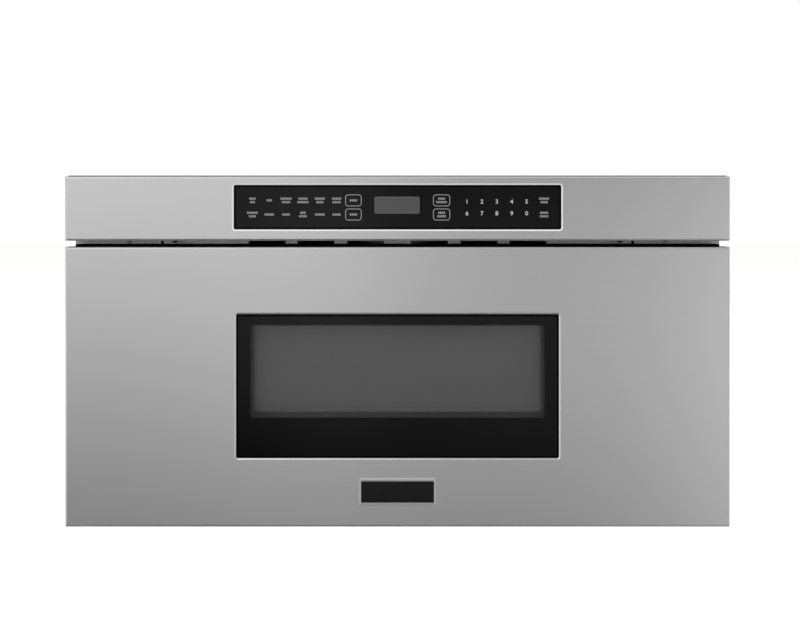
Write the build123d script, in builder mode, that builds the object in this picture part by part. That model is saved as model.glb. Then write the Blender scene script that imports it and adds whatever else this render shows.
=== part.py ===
from build123d import *

# Built-in microwave drawer for a 30 in cabinet, in millimetres.
# X points right, Y to the back and Z up. The origin is the centre of the four flange
# screws on the cabinet face (Y = 0), halfway up the chassis. Sheet pieces are sheets
# with their bends, and each moving piece clears its neighbours by a named clearance.

import os
from math import acos, cos, pi, radians, sin, tan

os.makedirs("parts", exist_ok=True)

# Front: a fixed fascia above and the drawer front below, in one plane
FRONT_W = 758.8
FRONT_Y = -39.5
PANEL_H = 73.5
DOOR_H = 319.5
DOOR_BOTTOM = -197.0
FRONT_GAP = 7.0
SKIN_T = 1.2
SKIN_BEND = 2.4
BEVEL_W = 1.6
BEVEL_D = 0.8
GLASS_REVEAL = 1.1
GLASS_SET = 0.3

# Control fascia and what it holds
FASCIA_D = 24.0
CONTROL_W = 374.0
CONTROL_H = 51.0
CONTROL_DROP = 35.2
CONTROL_GLASS_T = 3.0
CONTROL_CORNER = 2.0
HOUSING_WALL = 2.5
HOUSING_SEAT = 6.0
HOUSING_RIB_PITCH = 48.0
BOARD_T = 1.6
BOARD_MARGIN = 7.0
POST_R = 3.5
DISPLAY_W = 52.4
DISPLAY_H = 19.4
DISPLAY_RISE = 3.1
DISPLAY_T = 8.0

# Drawer front
DOOR_SKIN_D = 32.2
DOOR_BACK_T = 1.2
WINDOW_W = 368.6
WINDOW_BOTTOM = -118.6
WINDOW_TOP = 45.9
WINDOW_CORNER = 2.0
DOOR_GLASS_T = 4.0
SIGHT_W = 335.5
SIGHT_BOTTOM = -72.5
SIGHT_TOP = 33.6
SIGHT_CORNER = 3.0
SCREEN_DEPTH = 25.0
SCREEN_T = 0.5
SCREEN_LAP = 6.0
SCREEN_INSET = 2.3
SCREEN_RISE = 4.4
INNER_GLASS_T = 3.0
INNER_GLASS_LAP = 9.0
TUNNEL_WALL = 2.0
TUNNEL_LAP = 8.0
BADGE_W = 86.7
BADGE_H = 31.0
BADGE_Z = -156.6
BADGE_T = 2.2
BADGE_EDGE = 1.2
BADGE_FIELD_W = 83.2
BADGE_FIELD_H = 24.5
BADGE_SINK = 0.5

# Cooking space inside the bin, and the sheets round it
COOK_W = 439.7
COOK_H = 180.2
COOK_D = 419.9
TRAY_TOP = -88.0
TRAY_T = 5.0
TRAY_GAP = 2.5
TRAY_CORNER = 12.0
TRAY_EDGE = 1.2
BIN_T = 1.0
BIN_WALL_H = 85.0
BIN_BEND = 3.0
BIN_CORNER = 9.0
BIN_SIDE_GAP = 4.0
BIN_FLOOR_GAP = 3.0
BIN_BACK_GAP = 6.0
BIN_LAP = 6.5
RIM_W = 2.5
RIM_H = 5.0
CAVITY_T = 1.0
CAVITY_HEM = 12.0
BEAD_W = 14.0
BEAD_H = 4.0
BACK_FIELD_MARGIN = 36.0
BACK_FIELD_CORNER = 20.0

# Choke: a channel round the cavity mouth, with a slotted inner wall
CHOKE_T = 1.2
CHOKE_GAP = 2.15
CHOKE_W = 20.8
CHOKE_D = 9.3
CHOKE_SLOT_W = 5.0
CHOKE_SLOT_D = 6.0
CHOKE_PITCH = 22.0
COVER_T = 1.2
COVER_LIP = 2.8
FIT = 0.3

# Chassis
CHASSIS_W = 708.0
CHASSIS_H = 370.0
CHASSIS_D = 555.0
CASE_T = 1.0
CASE_HEM = 14.0
CASE_BEND = 1.5
FLANGE_W = 748.7
FLANGE_BOTTOM = -193.0
FLANGE_TOP = 195.0
FLANGE_T = 1.5
SCREW_X = 365.7
SCREW_Z = 100.0
SCREW_HOLE_R = 2.25
VENT_W = 42.8
VENT_H = 14.0
VENT_X = (37.2, 94.9, 151.7)
LOUVRE_W = 4.0
LOUVRE_L = 46.0
LOUVRE_PITCH = 12.0
GLAND_R = 11.0
GLAND_BORE_R = 4.5
GLAND_X = -250.0
GLAND_Z = -140.0

# Telescopic rails, outside and below the cooking space
RAIL_X = 256.0
RAIL_RISE = 44.0
RAIL_H = 45.0
RAIL_W = 12.8
RAIL_T = 1.2
RAIL_LIP = 2.0
RAIL_START = 4.0
RAIL_L = 460.0
RAIL_MIDDLE_L = 440.0
RAIL_SLOT_MARGIN = 4.0
SUPPORT_T = 1.5
SUPPORT_FOOT = 20.0
BRACKET_T = 2.0
BRACKET_H = 24.0
BRACKET_REACH = 70.0
BRACKET_FOOT = 34.0
BRACKET_FOOT_H = 40.0

# Rack and pinion drive
MODULE = 1.5
PINION_TEETH = 18
PRESSURE = radians(20.0)
BACKLASH = 0.2
PINION_W = 12.0
PINION_Y = 30.0
RACK_W = 10.0
RACK_RISE = 22.0
RACK_BODY = 8.0
RACK_END = 425.0
RACK_FOOT_H = 26.0
RACK_FOOT_W = 50.0
SHAFT_R = 4.0
SHAFT_FIT = 0.05
SHAFT_END_GAP = 1.0
MOTOR_LEAF_X = 10.5
GEARBOX_W = 40.0
GEARBOX_D = 72.0
GEARBOX_H = 46.0
GEARBOX_NOSE = 18.0
MOTOR_R = 17.0
MOTOR_L = 60.0
RACK_GUIDE_WALL = 4.2
RACK_GUIDE_DROP = 3.0
RACK_GUIDE_BEFORE = 20.0
RACK_GUIDE_AFTER = 50.0

# Stirrer, waveguide and magnetron
STIRRER_Y = 200.0
STIRRER_HUB_R = 9.0
STIRRER_HUB_H = 12.0
STIRRER_BLADE_W = 30.0
STIRRER_BLADE_T = 1.2
STIRRER_PITCH = 28.0
STIRRER_BORE_D = 12.0
STIRRER_EAR_X = 30.0
STIRRER_EAR_R = 6.0
CEILING_HOLE_R = 80.0
MICA_W = 176.0
MICA_T = 0.8
DOME_R = 85.0
GUIDE_W = 82.0
GUIDE_H = 38.0
GUIDE_END = 505.0
STIRRER_R = 68.0
STIRRER_SHAFT_R = 3.0
STIRRER_MOTOR_R = 25.0
STIRRER_MOTOR_H = 18.0
MAGNETRON_Y = 470.0
MAGNETRON_W = 80.0
MAGNETRON_D = 90.0
MAGNETRON_H = 78.0
YOKE_T = 2.0
ANTENNA_R = 7.5
ANTENNA_L = 26.0
ANODE_R = 20.0
MAGNET_R = 27.0
MAGNET_T = 10.0
FIN_T = 1.0
FIN_PITCH = 8.0
FIN_COUNT = 6
FILTER_H = 34.0
FILTER_INSET = 5.0

# Oven lamp on the right side of the cavity
LAMP_Y = 120.0
LAMP_Z = 40.0
LAMP_W = 38.0
LAMP_D = 42.0
LAMP_TAB = 9.0
LAMP_BULB_R = 9.0
LAMP_BULB_GAP = 6.0

# Cooling fan, blowing across the magnetron
FAN_X = -82.0
FAN_Y = 484.0
FAN_Z = 44.0
FAN_RING_R = 56.0
FAN_RING_T = 2.0
FAN_RING_D = 20.0
FAN_TIP_GAP = 3.0
FAN_BLADES = 5
FAN_SHAFT_R = 2.5
FAN_HUB_R = 14.0
FAN_HUB_T = 18.0
FAN_BLADE_W = 28.0
FAN_BLADE_T = 1.5
FAN_PITCH = 32.0
FAN_ARM_L = 46.0
FAN_ARM_W = 14.0
FAN_CORE_W = 52.0
FAN_CORE_H = 62.0
FAN_CORE_T = 18.0
FAN_CORE_DROP = 8.0
FAN_COIL_W = 34.0
FAN_COIL_H = 20.0
FAN_COIL_T = 27.0
FAN_COIL_DROP = 27.0
FAN_BEARING_R = 12.0
FAN_BEARING_T = 24.0
FAN_BORE_D = 15.0
SHROUD_W = 128.0
SHROUD_TOP = 108.0

# Transformer with standard laminations, capacitor and power board
CORE_LEG_W = 16.0
CORE_LEGS_WIDE = 6
CORE_LEGS_HIGH = 5
CORE_D = 90.0
CORE_MID_X = 190.0
CORE_Y = 430.0
COIL_GAP = 2.0
CAP_X = 100.0
CAP_Y = 480.0
CAP_L = 96.0
CAP_W = 34.0
CAP_H = 52.0
CAP_STRAP_L = 60.0
CAP_STRAP_W = 16.0
BLADE_PITCH = 36.0
BLADE_T = 1.0
BLADE_W = 6.3
BLADE_L = 13.0
POWER_Y = 360.0
POWER_Z = 15.0
POWER_W = 140.0
POWER_H = 150.0
STANDOFF_H = 8.0
STANDOFF_R = 4.0
STANDOFF_INSET = 8.0
RELAY_W = 16.0
RELAY_H = 29.0
RELAY_D = 17.0
RELAY_PITCH = 25.0
RELAY_RISE = 40.0
CHOKE_COIL_W = 42.0
CHOKE_COIL_H = 36.0
CHOKE_COIL_D = 32.0
SMOOTHING_R = 11.0
SMOOTHING_D = 30.0
SINK_W = 34.0
SINK_D = 26.0
SINK_FIN_T = 1.6
SINK_FIN_PITCH = 7.0
SINK_FINS = 6

# Door latches and their switches
LATCH_X = 273.5
LATCH_SLOT_W = 3.0
LATCH_SLOT_OVER = 4.5
LATCH_SLOT_UNDER = 6.0
HOOK_T = 2.0
HOOK_H = 18.0
HOOK_DROP = 8.5
HOOK_REACH = 18.0
HOOK_FOOT = 18.0
HOOK_NOTCH_W = 6.0
HOOK_NOTCH_H = 4.0
HOOK_NOTCH_IN = 8.0
PLUNGER_W = 6.0
PLUNGER_L = 22.0
PLUNGER_HEAD_W = 9.0
PLUNGER_HEAD_T = 2.0
PLUNGER_DROP = 5.0
HOLDER_WALL = 3.0
HOLDER_ROOM = 3.0
HOLDER_D = 42.0

# Worked out from the sizes above
DOOR_TOP = DOOR_BOTTOM + DOOR_H
PANEL_BOTTOM = DOOR_TOP + FRONT_GAP
PANEL_TOP = PANEL_BOTTOM + PANEL_H
FRONT_HALF = FRONT_W / 2
CONTROL_Z = PANEL_TOP - CONTROL_DROP
GAP_Z = (DOOR_TOP + PANEL_BOTTOM) / 2
WINDOW_Z = (WINDOW_BOTTOM + WINDOW_TOP) / 2
SIGHT_Z = (SIGHT_BOTTOM + SIGHT_TOP) / 2
WINDOW_H = WINDOW_TOP - WINDOW_BOTTOM
SIGHT_H = SIGHT_TOP - SIGHT_BOTTOM
SCREEN_Y = FRONT_Y + SCREEN_DEPTH
DOOR_REAR = FRONT_Y + DOOR_SKIN_D

BIN_HALF = COOK_W / 2 + BIN_T
BIN_FLOOR = TRAY_TOP - TRAY_T
BIN_TOP = BIN_FLOOR - BIN_T + BIN_WALL_H
BIN_BACK = SCREEN_Y + COOK_D
CAVITY_HALF = BIN_HALF + BIN_SIDE_GAP
CAVITY_FLOOR = BIN_FLOOR - BIN_T - BIN_FLOOR_GAP
CAVITY_CEILING = TRAY_TOP + COOK_H
CAVITY_BACK = BIN_BACK + BIN_T + BIN_BACK_GAP

CHOKE_IN_HALF = CAVITY_HALF + CHOKE_GAP
CHOKE_IN_BOTTOM = CAVITY_FLOOR - CHOKE_GAP
CHOKE_IN_TOP = CAVITY_CEILING + CHOKE_GAP
CHOKE_OUT = CHOKE_W + 2 * CHOKE_T
CHOKE_OUT_HALF = CHOKE_IN_HALF + CHOKE_OUT
CHOKE_REAR = SCREEN_Y + CHOKE_D

CASE_HALF = CHASSIS_W / 2
CASE_IN = CASE_HALF - CASE_T
CASE_TOP = CHASSIS_H / 2
FLOOR_TOP = CASE_T - CASE_TOP
CASE_BACK = CHASSIS_D - CASE_T

RAIL_Z = FLOOR_TOP + RAIL_RISE
RAIL_WEB_X = RAIL_X + RAIL_W
RAIL_HALF = RAIL_H / 2
DEDENDUM = 1.25 * MODULE
PINION_R = MODULE * PINION_TEETH / 2
RACK_PITCH = pi * MODULE
RACK_PITCH_Z = FLOOR_TOP + RACK_RISE
PINION_Z = RACK_PITCH_Z + PINION_R
RACK_BOTTOM = RACK_PITCH_Z - DEDENDUM - RACK_BODY

HOOK_TOP = DOOR_TOP - HOOK_DROP
HOOK_BOTTOM = HOOK_TOP - HOOK_H
LATCH_SLOT_BOTTOM = HOOK_BOTTOM - LATCH_SLOT_UNDER
LATCH_SLOT_TOP = PANEL_BOTTOM + LATCH_SLOT_OVER
HALF_COOK = COOK_W / 2
DOME_TOP = CAVITY_CEILING + CAVITY_T + GUIDE_H
BOARD_Y = FRONT_Y + GLASS_SET + CONTROL_GLASS_T
SIDES = (("left", -1), ("right", 1))


def facing(y):
    """Plane at depth y whose axes are the object's X and Z. It extrudes to the front."""
    return Plane.XZ.offset(-y)


def level(z):
    """Horizontal plane at height z. It extrudes upwards."""
    return Plane.XY.offset(z)


def across(x):
    """Plane at the given X whose axes are the object's Y and Z. It extrudes to the right."""
    return Plane.YZ.offset(x)


def panel(first, second, corner=0.0, mode=Mode.ADD):
    """Rectangle in a sketch, between two limits on each axis."""
    width, height = first[1] - first[0], second[1] - second[0]
    with Locations(((first[0] + first[1]) / 2, (second[0] + second[1]) / 2)):
        if corner:
            RectangleRounded(width, height, corner, mode=mode)
        else:
            Rectangle(width, height, mode=mode)


def block(x, y, z, mode=Mode.ADD):
    """Box in a part, between two limits on each axis."""
    with Locations(((x[0] + x[1]) / 2, (y[0] + y[1]) / 2, (z[0] + z[1]) / 2)):
        Box(x[1] - x[0], y[1] - y[0], z[1] - z[0], mode=mode)


def both(half):
    """Limits that lie half to the left and half to the right of the middle."""
    return (-half, half)


def bevelled_window(width, height, z, corner):
    """Cuts a window through a front skin, with the sheet's front edge coined back."""
    outlines = []
    for depth, spread in ((0.0, BEVEL_W), (BEVEL_D, 0.0), (SKIN_T, 0.0)):
        with BuildSketch(facing(FRONT_Y + depth)) as outline:
            with Locations((0, z)):
                RectangleRounded(width + 2 * spread, height + 2 * spread, corner + spread)
        outlines.append(outline.sketch.faces()[0])
    loft(outlines[:2], mode=Mode.SUBTRACT)
    extrude(outlines[2], amount=SKIN_T, dir=(0, -1, 0), mode=Mode.SUBTRACT)


def mirrored(right, name):
    """Left-hand twin of a right-hand piece, labelled and written."""
    with BuildPart() as left:
        mirror(right.part, about=Plane.YZ)
    left.part.label = name
    export_step(left.part, f"parts/{name}.step")


# ---------------------------------------------------------------- fixed front

with BuildPart() as control_fascia:
    with BuildSketch(facing(FRONT_Y + FASCIA_D)):
        panel(both(FRONT_HALF), (PANEL_BOTTOM, PANEL_TOP))
    extrude(amount=FASCIA_D)
    fillet(control_fascia.faces().sort_by(Axis.Y)[0].edges(), SKIN_BEND)
    offset(amount=-SKIN_T, openings=control_fascia.faces().sort_by(Axis.Y)[-1])
    bevelled_window(CONTROL_W, CONTROL_H, CONTROL_Z, CONTROL_CORNER)
control_fascia.part.label = "control_fascia"
export_step(control_fascia.part, "parts/control_fascia.step")

with BuildPart() as control_glass:
    with BuildSketch(facing(BOARD_Y)):
        with Locations((0, CONTROL_Z)):
            RectangleRounded(
                CONTROL_W - 2 * GLASS_REVEAL, CONTROL_H - 2 * GLASS_REVEAL, CONTROL_CORNER
            )
    extrude(amount=CONTROL_GLASS_T)
control_glass.part.label = "control_glass"
export_step(control_glass.part, "parts/control_glass.step")

# The housing is a moulded tray, open to the front inside the fascia. A rim round the
# glass, ribs above and below it and four posts for the key board stand on its floor.
HOUSING_HALF = FRONT_HALF - SKIN_T - FIT
HOUSING_Z = (PANEL_BOTTOM + SKIN_T + FIT, PANEL_TOP - SKIN_T - FIT)
HOUSING_FRONT = FRONT_Y + SKIN_T + 2 * FIT
HOUSING_FLOOR = -FLANGE_T - HOUSING_WALL
RIM_IN_HALF = CONTROL_W / 2 - GLASS_REVEAL - HOUSING_SEAT
RIM_IN_H = CONTROL_H / 2 - GLASS_REVEAL - HOUSING_SEAT / 2
RIM_OUT_HALF = CONTROL_W / 2 + HOUSING_WALL
RIM_OUT_H = CONTROL_H / 2 + HOUSING_WALL
POST_X = RIM_IN_HALF - BOARD_MARGIN
POST_Z = RIM_IN_H - BOARD_MARGIN
with BuildPart() as control_housing:
    with BuildSketch(facing(-FLANGE_T)):
        panel(both(HOUSING_HALF), HOUSING_Z)
    extrude(amount=-FLANGE_T - HOUSING_FRONT)
    with BuildSketch(facing(HOUSING_FLOOR)):
        panel(
            both(HOUSING_HALF - HOUSING_WALL),
            (HOUSING_Z[0] + HOUSING_WALL, HOUSING_Z[1] - HOUSING_WALL),
        )
    extrude(amount=HOUSING_FLOOR - HOUSING_FRONT, mode=Mode.SUBTRACT)
    with BuildSketch(facing(HOUSING_FLOOR)):
        with Locations((0, CONTROL_Z)):
            Rectangle(2 * RIM_OUT_HALF, 2 * RIM_OUT_H)
            Rectangle(2 * RIM_IN_HALF, 2 * RIM_IN_H, mode=Mode.SUBTRACT)
    extrude(amount=HOUSING_FLOOR - BOARD_Y)
    with BuildSketch(facing(HOUSING_FLOOR)):
        with Locations((0, CONTROL_Z)):
            with GridLocations(2 * POST_X, 2 * POST_Z, 2, 2):
                RegularPolygon(POST_R, 6)
    extrude(amount=HOUSING_FLOOR - BOARD_Y - BOARD_T)
    with BuildSketch(facing(HOUSING_FLOOR)):
        rib_count = int((HOUSING_HALF - RIM_OUT_HALF) / HOUSING_RIB_PITCH)
        for side in (-1, 1):
            for number in range(1, rib_count + 1):
                rib_x = side * (RIM_OUT_HALF + number * HOUSING_RIB_PITCH)
                panel((rib_x - HOUSING_WALL / 2, rib_x + HOUSING_WALL / 2), HOUSING_Z)
    extrude(amount=HOUSING_FLOOR - BOARD_Y)
control_housing.part.label = "control_housing"
export_step(control_housing.part, "parts/control_housing.step")

DISPLAY_Z = CONTROL_Z + DISPLAY_RISE
with BuildPart() as key_board:
    with BuildSketch(facing(BOARD_Y + BOARD_T)):
        with Locations((0, CONTROL_Z)):
            Rectangle(2 * (RIM_IN_HALF - FIT), 2 * (RIM_IN_H - FIT))
        with Locations((0, DISPLAY_Z)):
            Rectangle(DISPLAY_W + 2 * FIT, DISPLAY_H + 2 * FIT, mode=Mode.SUBTRACT)
    extrude(amount=BOARD_T)
key_board.part.label = "key_board"
export_step(key_board.part, "parts/key_board.step")

with BuildPart() as display_module:
    with BuildSketch(facing(BOARD_Y + DISPLAY_T)):
        with Locations((0, DISPLAY_Z)):
            Rectangle(DISPLAY_W, DISPLAY_H)
    extrude(amount=DISPLAY_T)
display_module.part.label = "display_module"
export_step(display_module.part, "parts/display_module.step")

# The flange closes the cabinet cut-out. Its vents and latch slots show in the gap.
RACK_SLOT_HALF = RACK_W / 2 + RAIL_SLOT_MARGIN
RACK_SLOT_Z = (RACK_BOTTOM - RAIL_SLOT_MARGIN, RACK_PITCH_Z + MODULE + RAIL_SLOT_MARGIN)
with BuildPart() as front_flange:
    with BuildSketch(facing(0)):
        panel(both(FLANGE_W / 2), (FLANGE_BOTTOM, FLANGE_TOP))
        panel(both(CAVITY_HALF), (CAVITY_FLOOR, CAVITY_CEILING), mode=Mode.SUBTRACT)
        panel(both(RACK_SLOT_HALF), RACK_SLOT_Z, mode=Mode.SUBTRACT)
        for side in (-1, 1):
            with Locations([(side * x, GAP_Z) for x in VENT_X]):
                Rectangle(VENT_W, VENT_H, mode=Mode.SUBTRACT)
            with Locations((side * LATCH_X, (LATCH_SLOT_BOTTOM + LATCH_SLOT_TOP) / 2)):
                Rectangle(LATCH_SLOT_W, LATCH_SLOT_TOP - LATCH_SLOT_BOTTOM, mode=Mode.SUBTRACT)
            with Locations((side * (RAIL_X + RAIL_W / 2 - BRACKET_T / 2), RAIL_Z)):
                Rectangle(
                    RAIL_W + BRACKET_T + 2 * RAIL_SLOT_MARGIN,
                    RAIL_H + 2 * RAIL_SLOT_MARGIN,
                    mode=Mode.SUBTRACT,
                )
        with GridLocations(2 * SCREW_X, 2 * SCREW_Z, 2, 2):
            Circle(SCREW_HOLE_R, mode=Mode.SUBTRACT)
    extrude(amount=FLANGE_T)
front_flange.part.label = "front_flange"
export_step(front_flange.part, "parts/front_flange.step")

# ---------------------------------------------------------------- drawer front

with BuildPart() as door_skin:
    with BuildSketch(facing(DOOR_REAR)):
        panel(both(FRONT_HALF), (DOOR_BOTTOM, DOOR_TOP))
    extrude(amount=DOOR_SKIN_D)
    fillet(door_skin.faces().sort_by(Axis.Y)[0].edges(), SKIN_BEND)
    offset(amount=-SKIN_T, openings=door_skin.faces().sort_by(Axis.Y)[-1])
    bevelled_window(WINDOW_W, WINDOW_H, WINDOW_Z, WINDOW_CORNER)
door_skin.part.label = "door_skin"
export_step(door_skin.part, "parts/door_skin.step")

GLASS_BACK = FRONT_Y + GLASS_SET + DOOR_GLASS_T
with BuildPart() as door_glass:
    with BuildSketch(facing(GLASS_BACK)):
        with Locations((0, WINDOW_Z)):
            RectangleRounded(
                WINDOW_W - 2 * GLASS_REVEAL, WINDOW_H - 2 * GLASS_REVEAL, WINDOW_CORNER
            )
    extrude(amount=DOOR_GLASS_T)
door_glass.part.label = "door_glass"
export_step(door_glass.part, "parts/door_glass.step")

with BuildPart() as badge_plate:
    with BuildSketch(facing(FRONT_Y)):
        with Locations((0, BADGE_Z)):
            Rectangle(BADGE_W, BADGE_H)
    extrude(amount=BADGE_T)
    chamfer(badge_plate.faces().sort_by(Axis.Y)[0].edges(), BADGE_EDGE)
    with BuildSketch(facing(FRONT_Y - BADGE_T)):
        with Locations((0, BADGE_Z)):
            Rectangle(BADGE_FIELD_W, BADGE_FIELD_H)
    extrude(amount=-BADGE_SINK, mode=Mode.SUBTRACT)
badge_plate.part.label = "badge_plate"
export_step(badge_plate.part, "parts/badge_plate.step")

# The window tunnel seats the glass in a pocket behind the skin and tapers back to the
# choke frame round the see-through part of the window.
PLATE_FRONT = SCREEN_Y - CHOKE_T
SCREEN_HALF = SIGHT_W / 2 - SCREEN_INSET
SCREEN_Z = (SIGHT_BOTTOM + SCREEN_RISE, SIGHT_TOP - SCREEN_INSET)
TUNNEL_SHELF = GLASS_BACK + TUNNEL_WALL
with BuildPart() as window_tunnel:
    with BuildSketch(facing(TUNNEL_SHELF)):
        with Locations((0, WINDOW_Z)):
            Rectangle(WINDOW_W + 2 * TUNNEL_LAP, WINDOW_H + 2 * TUNNEL_LAP)
    extrude(amount=TUNNEL_SHELF - FRONT_Y - SKIN_T)
    with BuildSketch(facing(GLASS_BACK)):
        with Locations((0, WINDOW_Z)):
            Rectangle(WINDOW_W, WINDOW_H)
    extrude(amount=GLASS_BACK - FRONT_Y, mode=Mode.SUBTRACT)
    with BuildSketch(facing(PLATE_FRONT)):
        with Locations((0, SIGHT_Z)):
            Rectangle(SIGHT_W + 2 * TUNNEL_WALL, SIGHT_H + 2 * TUNNEL_WALL)
    extrude(amount=PLATE_FRONT - GLASS_BACK)
    with BuildSketch(facing(PLATE_FRONT)):
        panel(both(SCREEN_HALF), SCREEN_Z, SIGHT_CORNER)
    with BuildSketch(facing(GLASS_BACK)):
        panel(both(SIGHT_W / 2), (SIGHT_BOTTOM, SIGHT_TOP), SIGHT_CORNER)
    loft(mode=Mode.SUBTRACT)
window_tunnel.part.label = "window_tunnel"
export_step(window_tunnel.part, "parts/window_tunnel.step")


def choke_ring(spread):
    """Limits of a rectangle that lies spread outside the choke's inner face."""
    return both(CHOKE_IN_HALF + spread), (CHOKE_IN_BOTTOM - spread, CHOKE_IN_TOP + spread)


def choke_wall(inner, outer):
    """Sketches the wall between two such rectangles."""
    panel(*choke_ring(outer))
    panel(*choke_ring(inner), mode=Mode.SUBTRACT)


with BuildPart() as door_frame:
    with BuildSketch(facing(SCREEN_Y)):
        panel(*choke_ring(CHOKE_OUT))
        panel(both(SCREEN_HALF), SCREEN_Z, SIGHT_CORNER, mode=Mode.SUBTRACT)
    extrude(amount=CHOKE_T)
    with BuildSketch(facing(CHOKE_REAR)):
        choke_wall(0, CHOKE_T)
        choke_wall(CHOKE_OUT - CHOKE_T, CHOKE_OUT)
    extrude(amount=CHOKE_D)
    slot_y = (CHOKE_REAR - CHOKE_SLOT_D / 2, CHOKE_REAR)
    choke_height = CHOKE_IN_TOP - CHOKE_IN_BOTTOM
    with Locations((0, CHOKE_REAR - CHOKE_SLOT_D / 2, (CHOKE_IN_TOP + CHOKE_IN_BOTTOM) / 2)):
        with GridLocations(CHOKE_PITCH, 1, int(2 * CHOKE_IN_HALF / CHOKE_PITCH) - 1, 1):
            Box(
                CHOKE_SLOT_W, CHOKE_SLOT_D, choke_height + 3 * CHOKE_T, mode=Mode.SUBTRACT
            )
        for number in range(int(choke_height / CHOKE_PITCH)):
            row = (number + 0.5) * CHOKE_PITCH - int(choke_height / CHOKE_PITCH) * CHOKE_PITCH / 2
            with Locations((0, 0, row)):
                Box(
                    2 * CHOKE_IN_HALF + 3 * CHOKE_T, CHOKE_SLOT_D, CHOKE_SLOT_W,
                    mode=Mode.SUBTRACT,
                )
door_frame.part.label = "door_frame"
export_step(door_frame.part, "parts/door_frame.step")

with BuildPart() as choke_cover:
    with BuildSketch(facing(CHOKE_REAR + COVER_T)):
        choke_wall(0, CHOKE_OUT)
    extrude(amount=COVER_T)
    with BuildSketch(facing(CHOKE_REAR)):
        choke_wall(CHOKE_T + FIT, 2 * CHOKE_T + FIT)
        choke_wall(CHOKE_OUT - 2 * CHOKE_T - FIT, CHOKE_OUT - CHOKE_T - FIT)
    extrude(amount=COVER_LIP)
choke_cover.part.label = "choke_cover"
export_step(choke_cover.part, "parts/choke_cover.step")

with BuildPart() as door_back:
    with BuildSketch(facing(DOOR_REAR)):
        inset = SKIN_T + FIT
        panel(both(FRONT_HALF - inset), (DOOR_BOTTOM + inset, DOOR_TOP - inset))
        panel(*choke_ring(CHOKE_OUT + FIT), mode=Mode.SUBTRACT)
    extrude(amount=DOOR_BACK_T)
door_back.part.label = "door_back"
export_step(door_back.part, "parts/door_back.step")

with BuildPart() as window_screen:
    with BuildSketch(facing(SCREEN_Y + SCREEN_T)):
        with Locations((0, SIGHT_Z)):
            Rectangle(SIGHT_W + 2 * SCREEN_LAP, SIGHT_H + 2 * SCREEN_LAP)
    extrude(amount=SCREEN_T)
window_screen.part.label = "window_screen"
export_step(window_screen.part, "parts/window_screen.step")

with BuildPart() as inner_window:
    with BuildSketch(facing(SCREEN_Y + SCREEN_T + INNER_GLASS_T)):
        with Locations((0, SIGHT_Z)):
            Rectangle(SIGHT_W + 2 * INNER_GLASS_LAP, SIGHT_H + 2 * INNER_GLASS_LAP)
    extrude(amount=INNER_GLASS_T)
inner_window.part.label = "inner_window"
export_step(inner_window.part, "parts/inner_window.step")

# The bin is a drawn tray without a front wall: its lap is welded to the choke frame.
with BuildPart() as drawer_bin:
    with BuildSketch(level(BIN_FLOOR - BIN_T)):
        panel(both(BIN_HALF), (SCREEN_Y - BIN_CORNER, BIN_BACK + BIN_T), BIN_CORNER)
    extrude(amount=BIN_WALL_H)
    fillet(drawer_bin.faces().sort_by(Axis.Z)[0].edges(), BIN_BEND)
    offset(amount=-BIN_T, openings=drawer_bin.faces().sort_by(Axis.Z)[-1])
    with BuildSketch(level(BIN_TOP - RIM_H)):
        panel(
            both(BIN_HALF + RIM_W),
            (SCREEN_Y - BIN_CORNER, BIN_BACK + BIN_T + RIM_W),
            BIN_CORNER + RIM_W,
        )
        panel(
            both(BIN_HALF - BIN_T / 2),
            (SCREEN_Y - 2 * BIN_CORNER, BIN_BACK + BIN_T / 2),
            BIN_CORNER - BIN_T / 2,
            mode=Mode.SUBTRACT,
        )
    extrude(amount=RIM_H)
    split(bisect_by=Plane.XZ.offset(-SCREEN_Y), keep=Keep.BOTTOM)
    with BuildSketch(facing(SCREEN_Y + BIN_T)):
        panel(both(BIN_HALF + BIN_LAP), (BIN_FLOOR - BIN_T - BIN_LAP / 2, BIN_TOP))
        panel(both(HALF_COOK), (BIN_FLOOR, BIN_TOP + BIN_LAP), mode=Mode.SUBTRACT)
    extrude(amount=BIN_T)
drawer_bin.part.label = "drawer_bin"
export_step(drawer_bin.part, "parts/drawer_bin.step")

TRAY_FRONT = SCREEN_Y + SCREEN_T + INNER_GLASS_T + TRAY_GAP
with BuildPart() as ceramic_tray:
    with BuildSketch(level(BIN_FLOOR)):
        panel(both(HALF_COOK - TRAY_GAP), (TRAY_FRONT, BIN_BACK - TRAY_GAP), TRAY_CORNER)
    extrude(amount=TRAY_T)
    chamfer(ceramic_tray.faces().sort_by(Axis.Z)[-1].edges(), TRAY_EDGE)
ceramic_tray.part.label = "ceramic_tray"
export_step(ceramic_tray.part, "parts/ceramic_tray.step")

with BuildPart() as latch_hooks:
    for side in (-1, 1):
        with BuildSketch(across(side * LATCH_X - HOOK_T / 2)):
            panel((DOOR_REAR, HOOK_REACH), (HOOK_BOTTOM, HOOK_TOP))
            with Locations((HOOK_REACH - HOOK_NOTCH_IN, HOOK_BOTTOM)):
                Rectangle(HOOK_NOTCH_W, 2 * HOOK_NOTCH_H, mode=Mode.SUBTRACT)
        extrude(amount=HOOK_T)
        foot_x = (side * LATCH_X, side * (LATCH_X + HOOK_FOOT))
        block((min(foot_x), max(foot_x)), (DOOR_REAR, DOOR_REAR + HOOK_T), (HOOK_BOTTOM, HOOK_TOP))
latch_hooks.part.label = "latch_hooks"
export_step(latch_hooks.part, "parts/latch_hooks.step")

# ---------------------------------------------------------------- cavity

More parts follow.
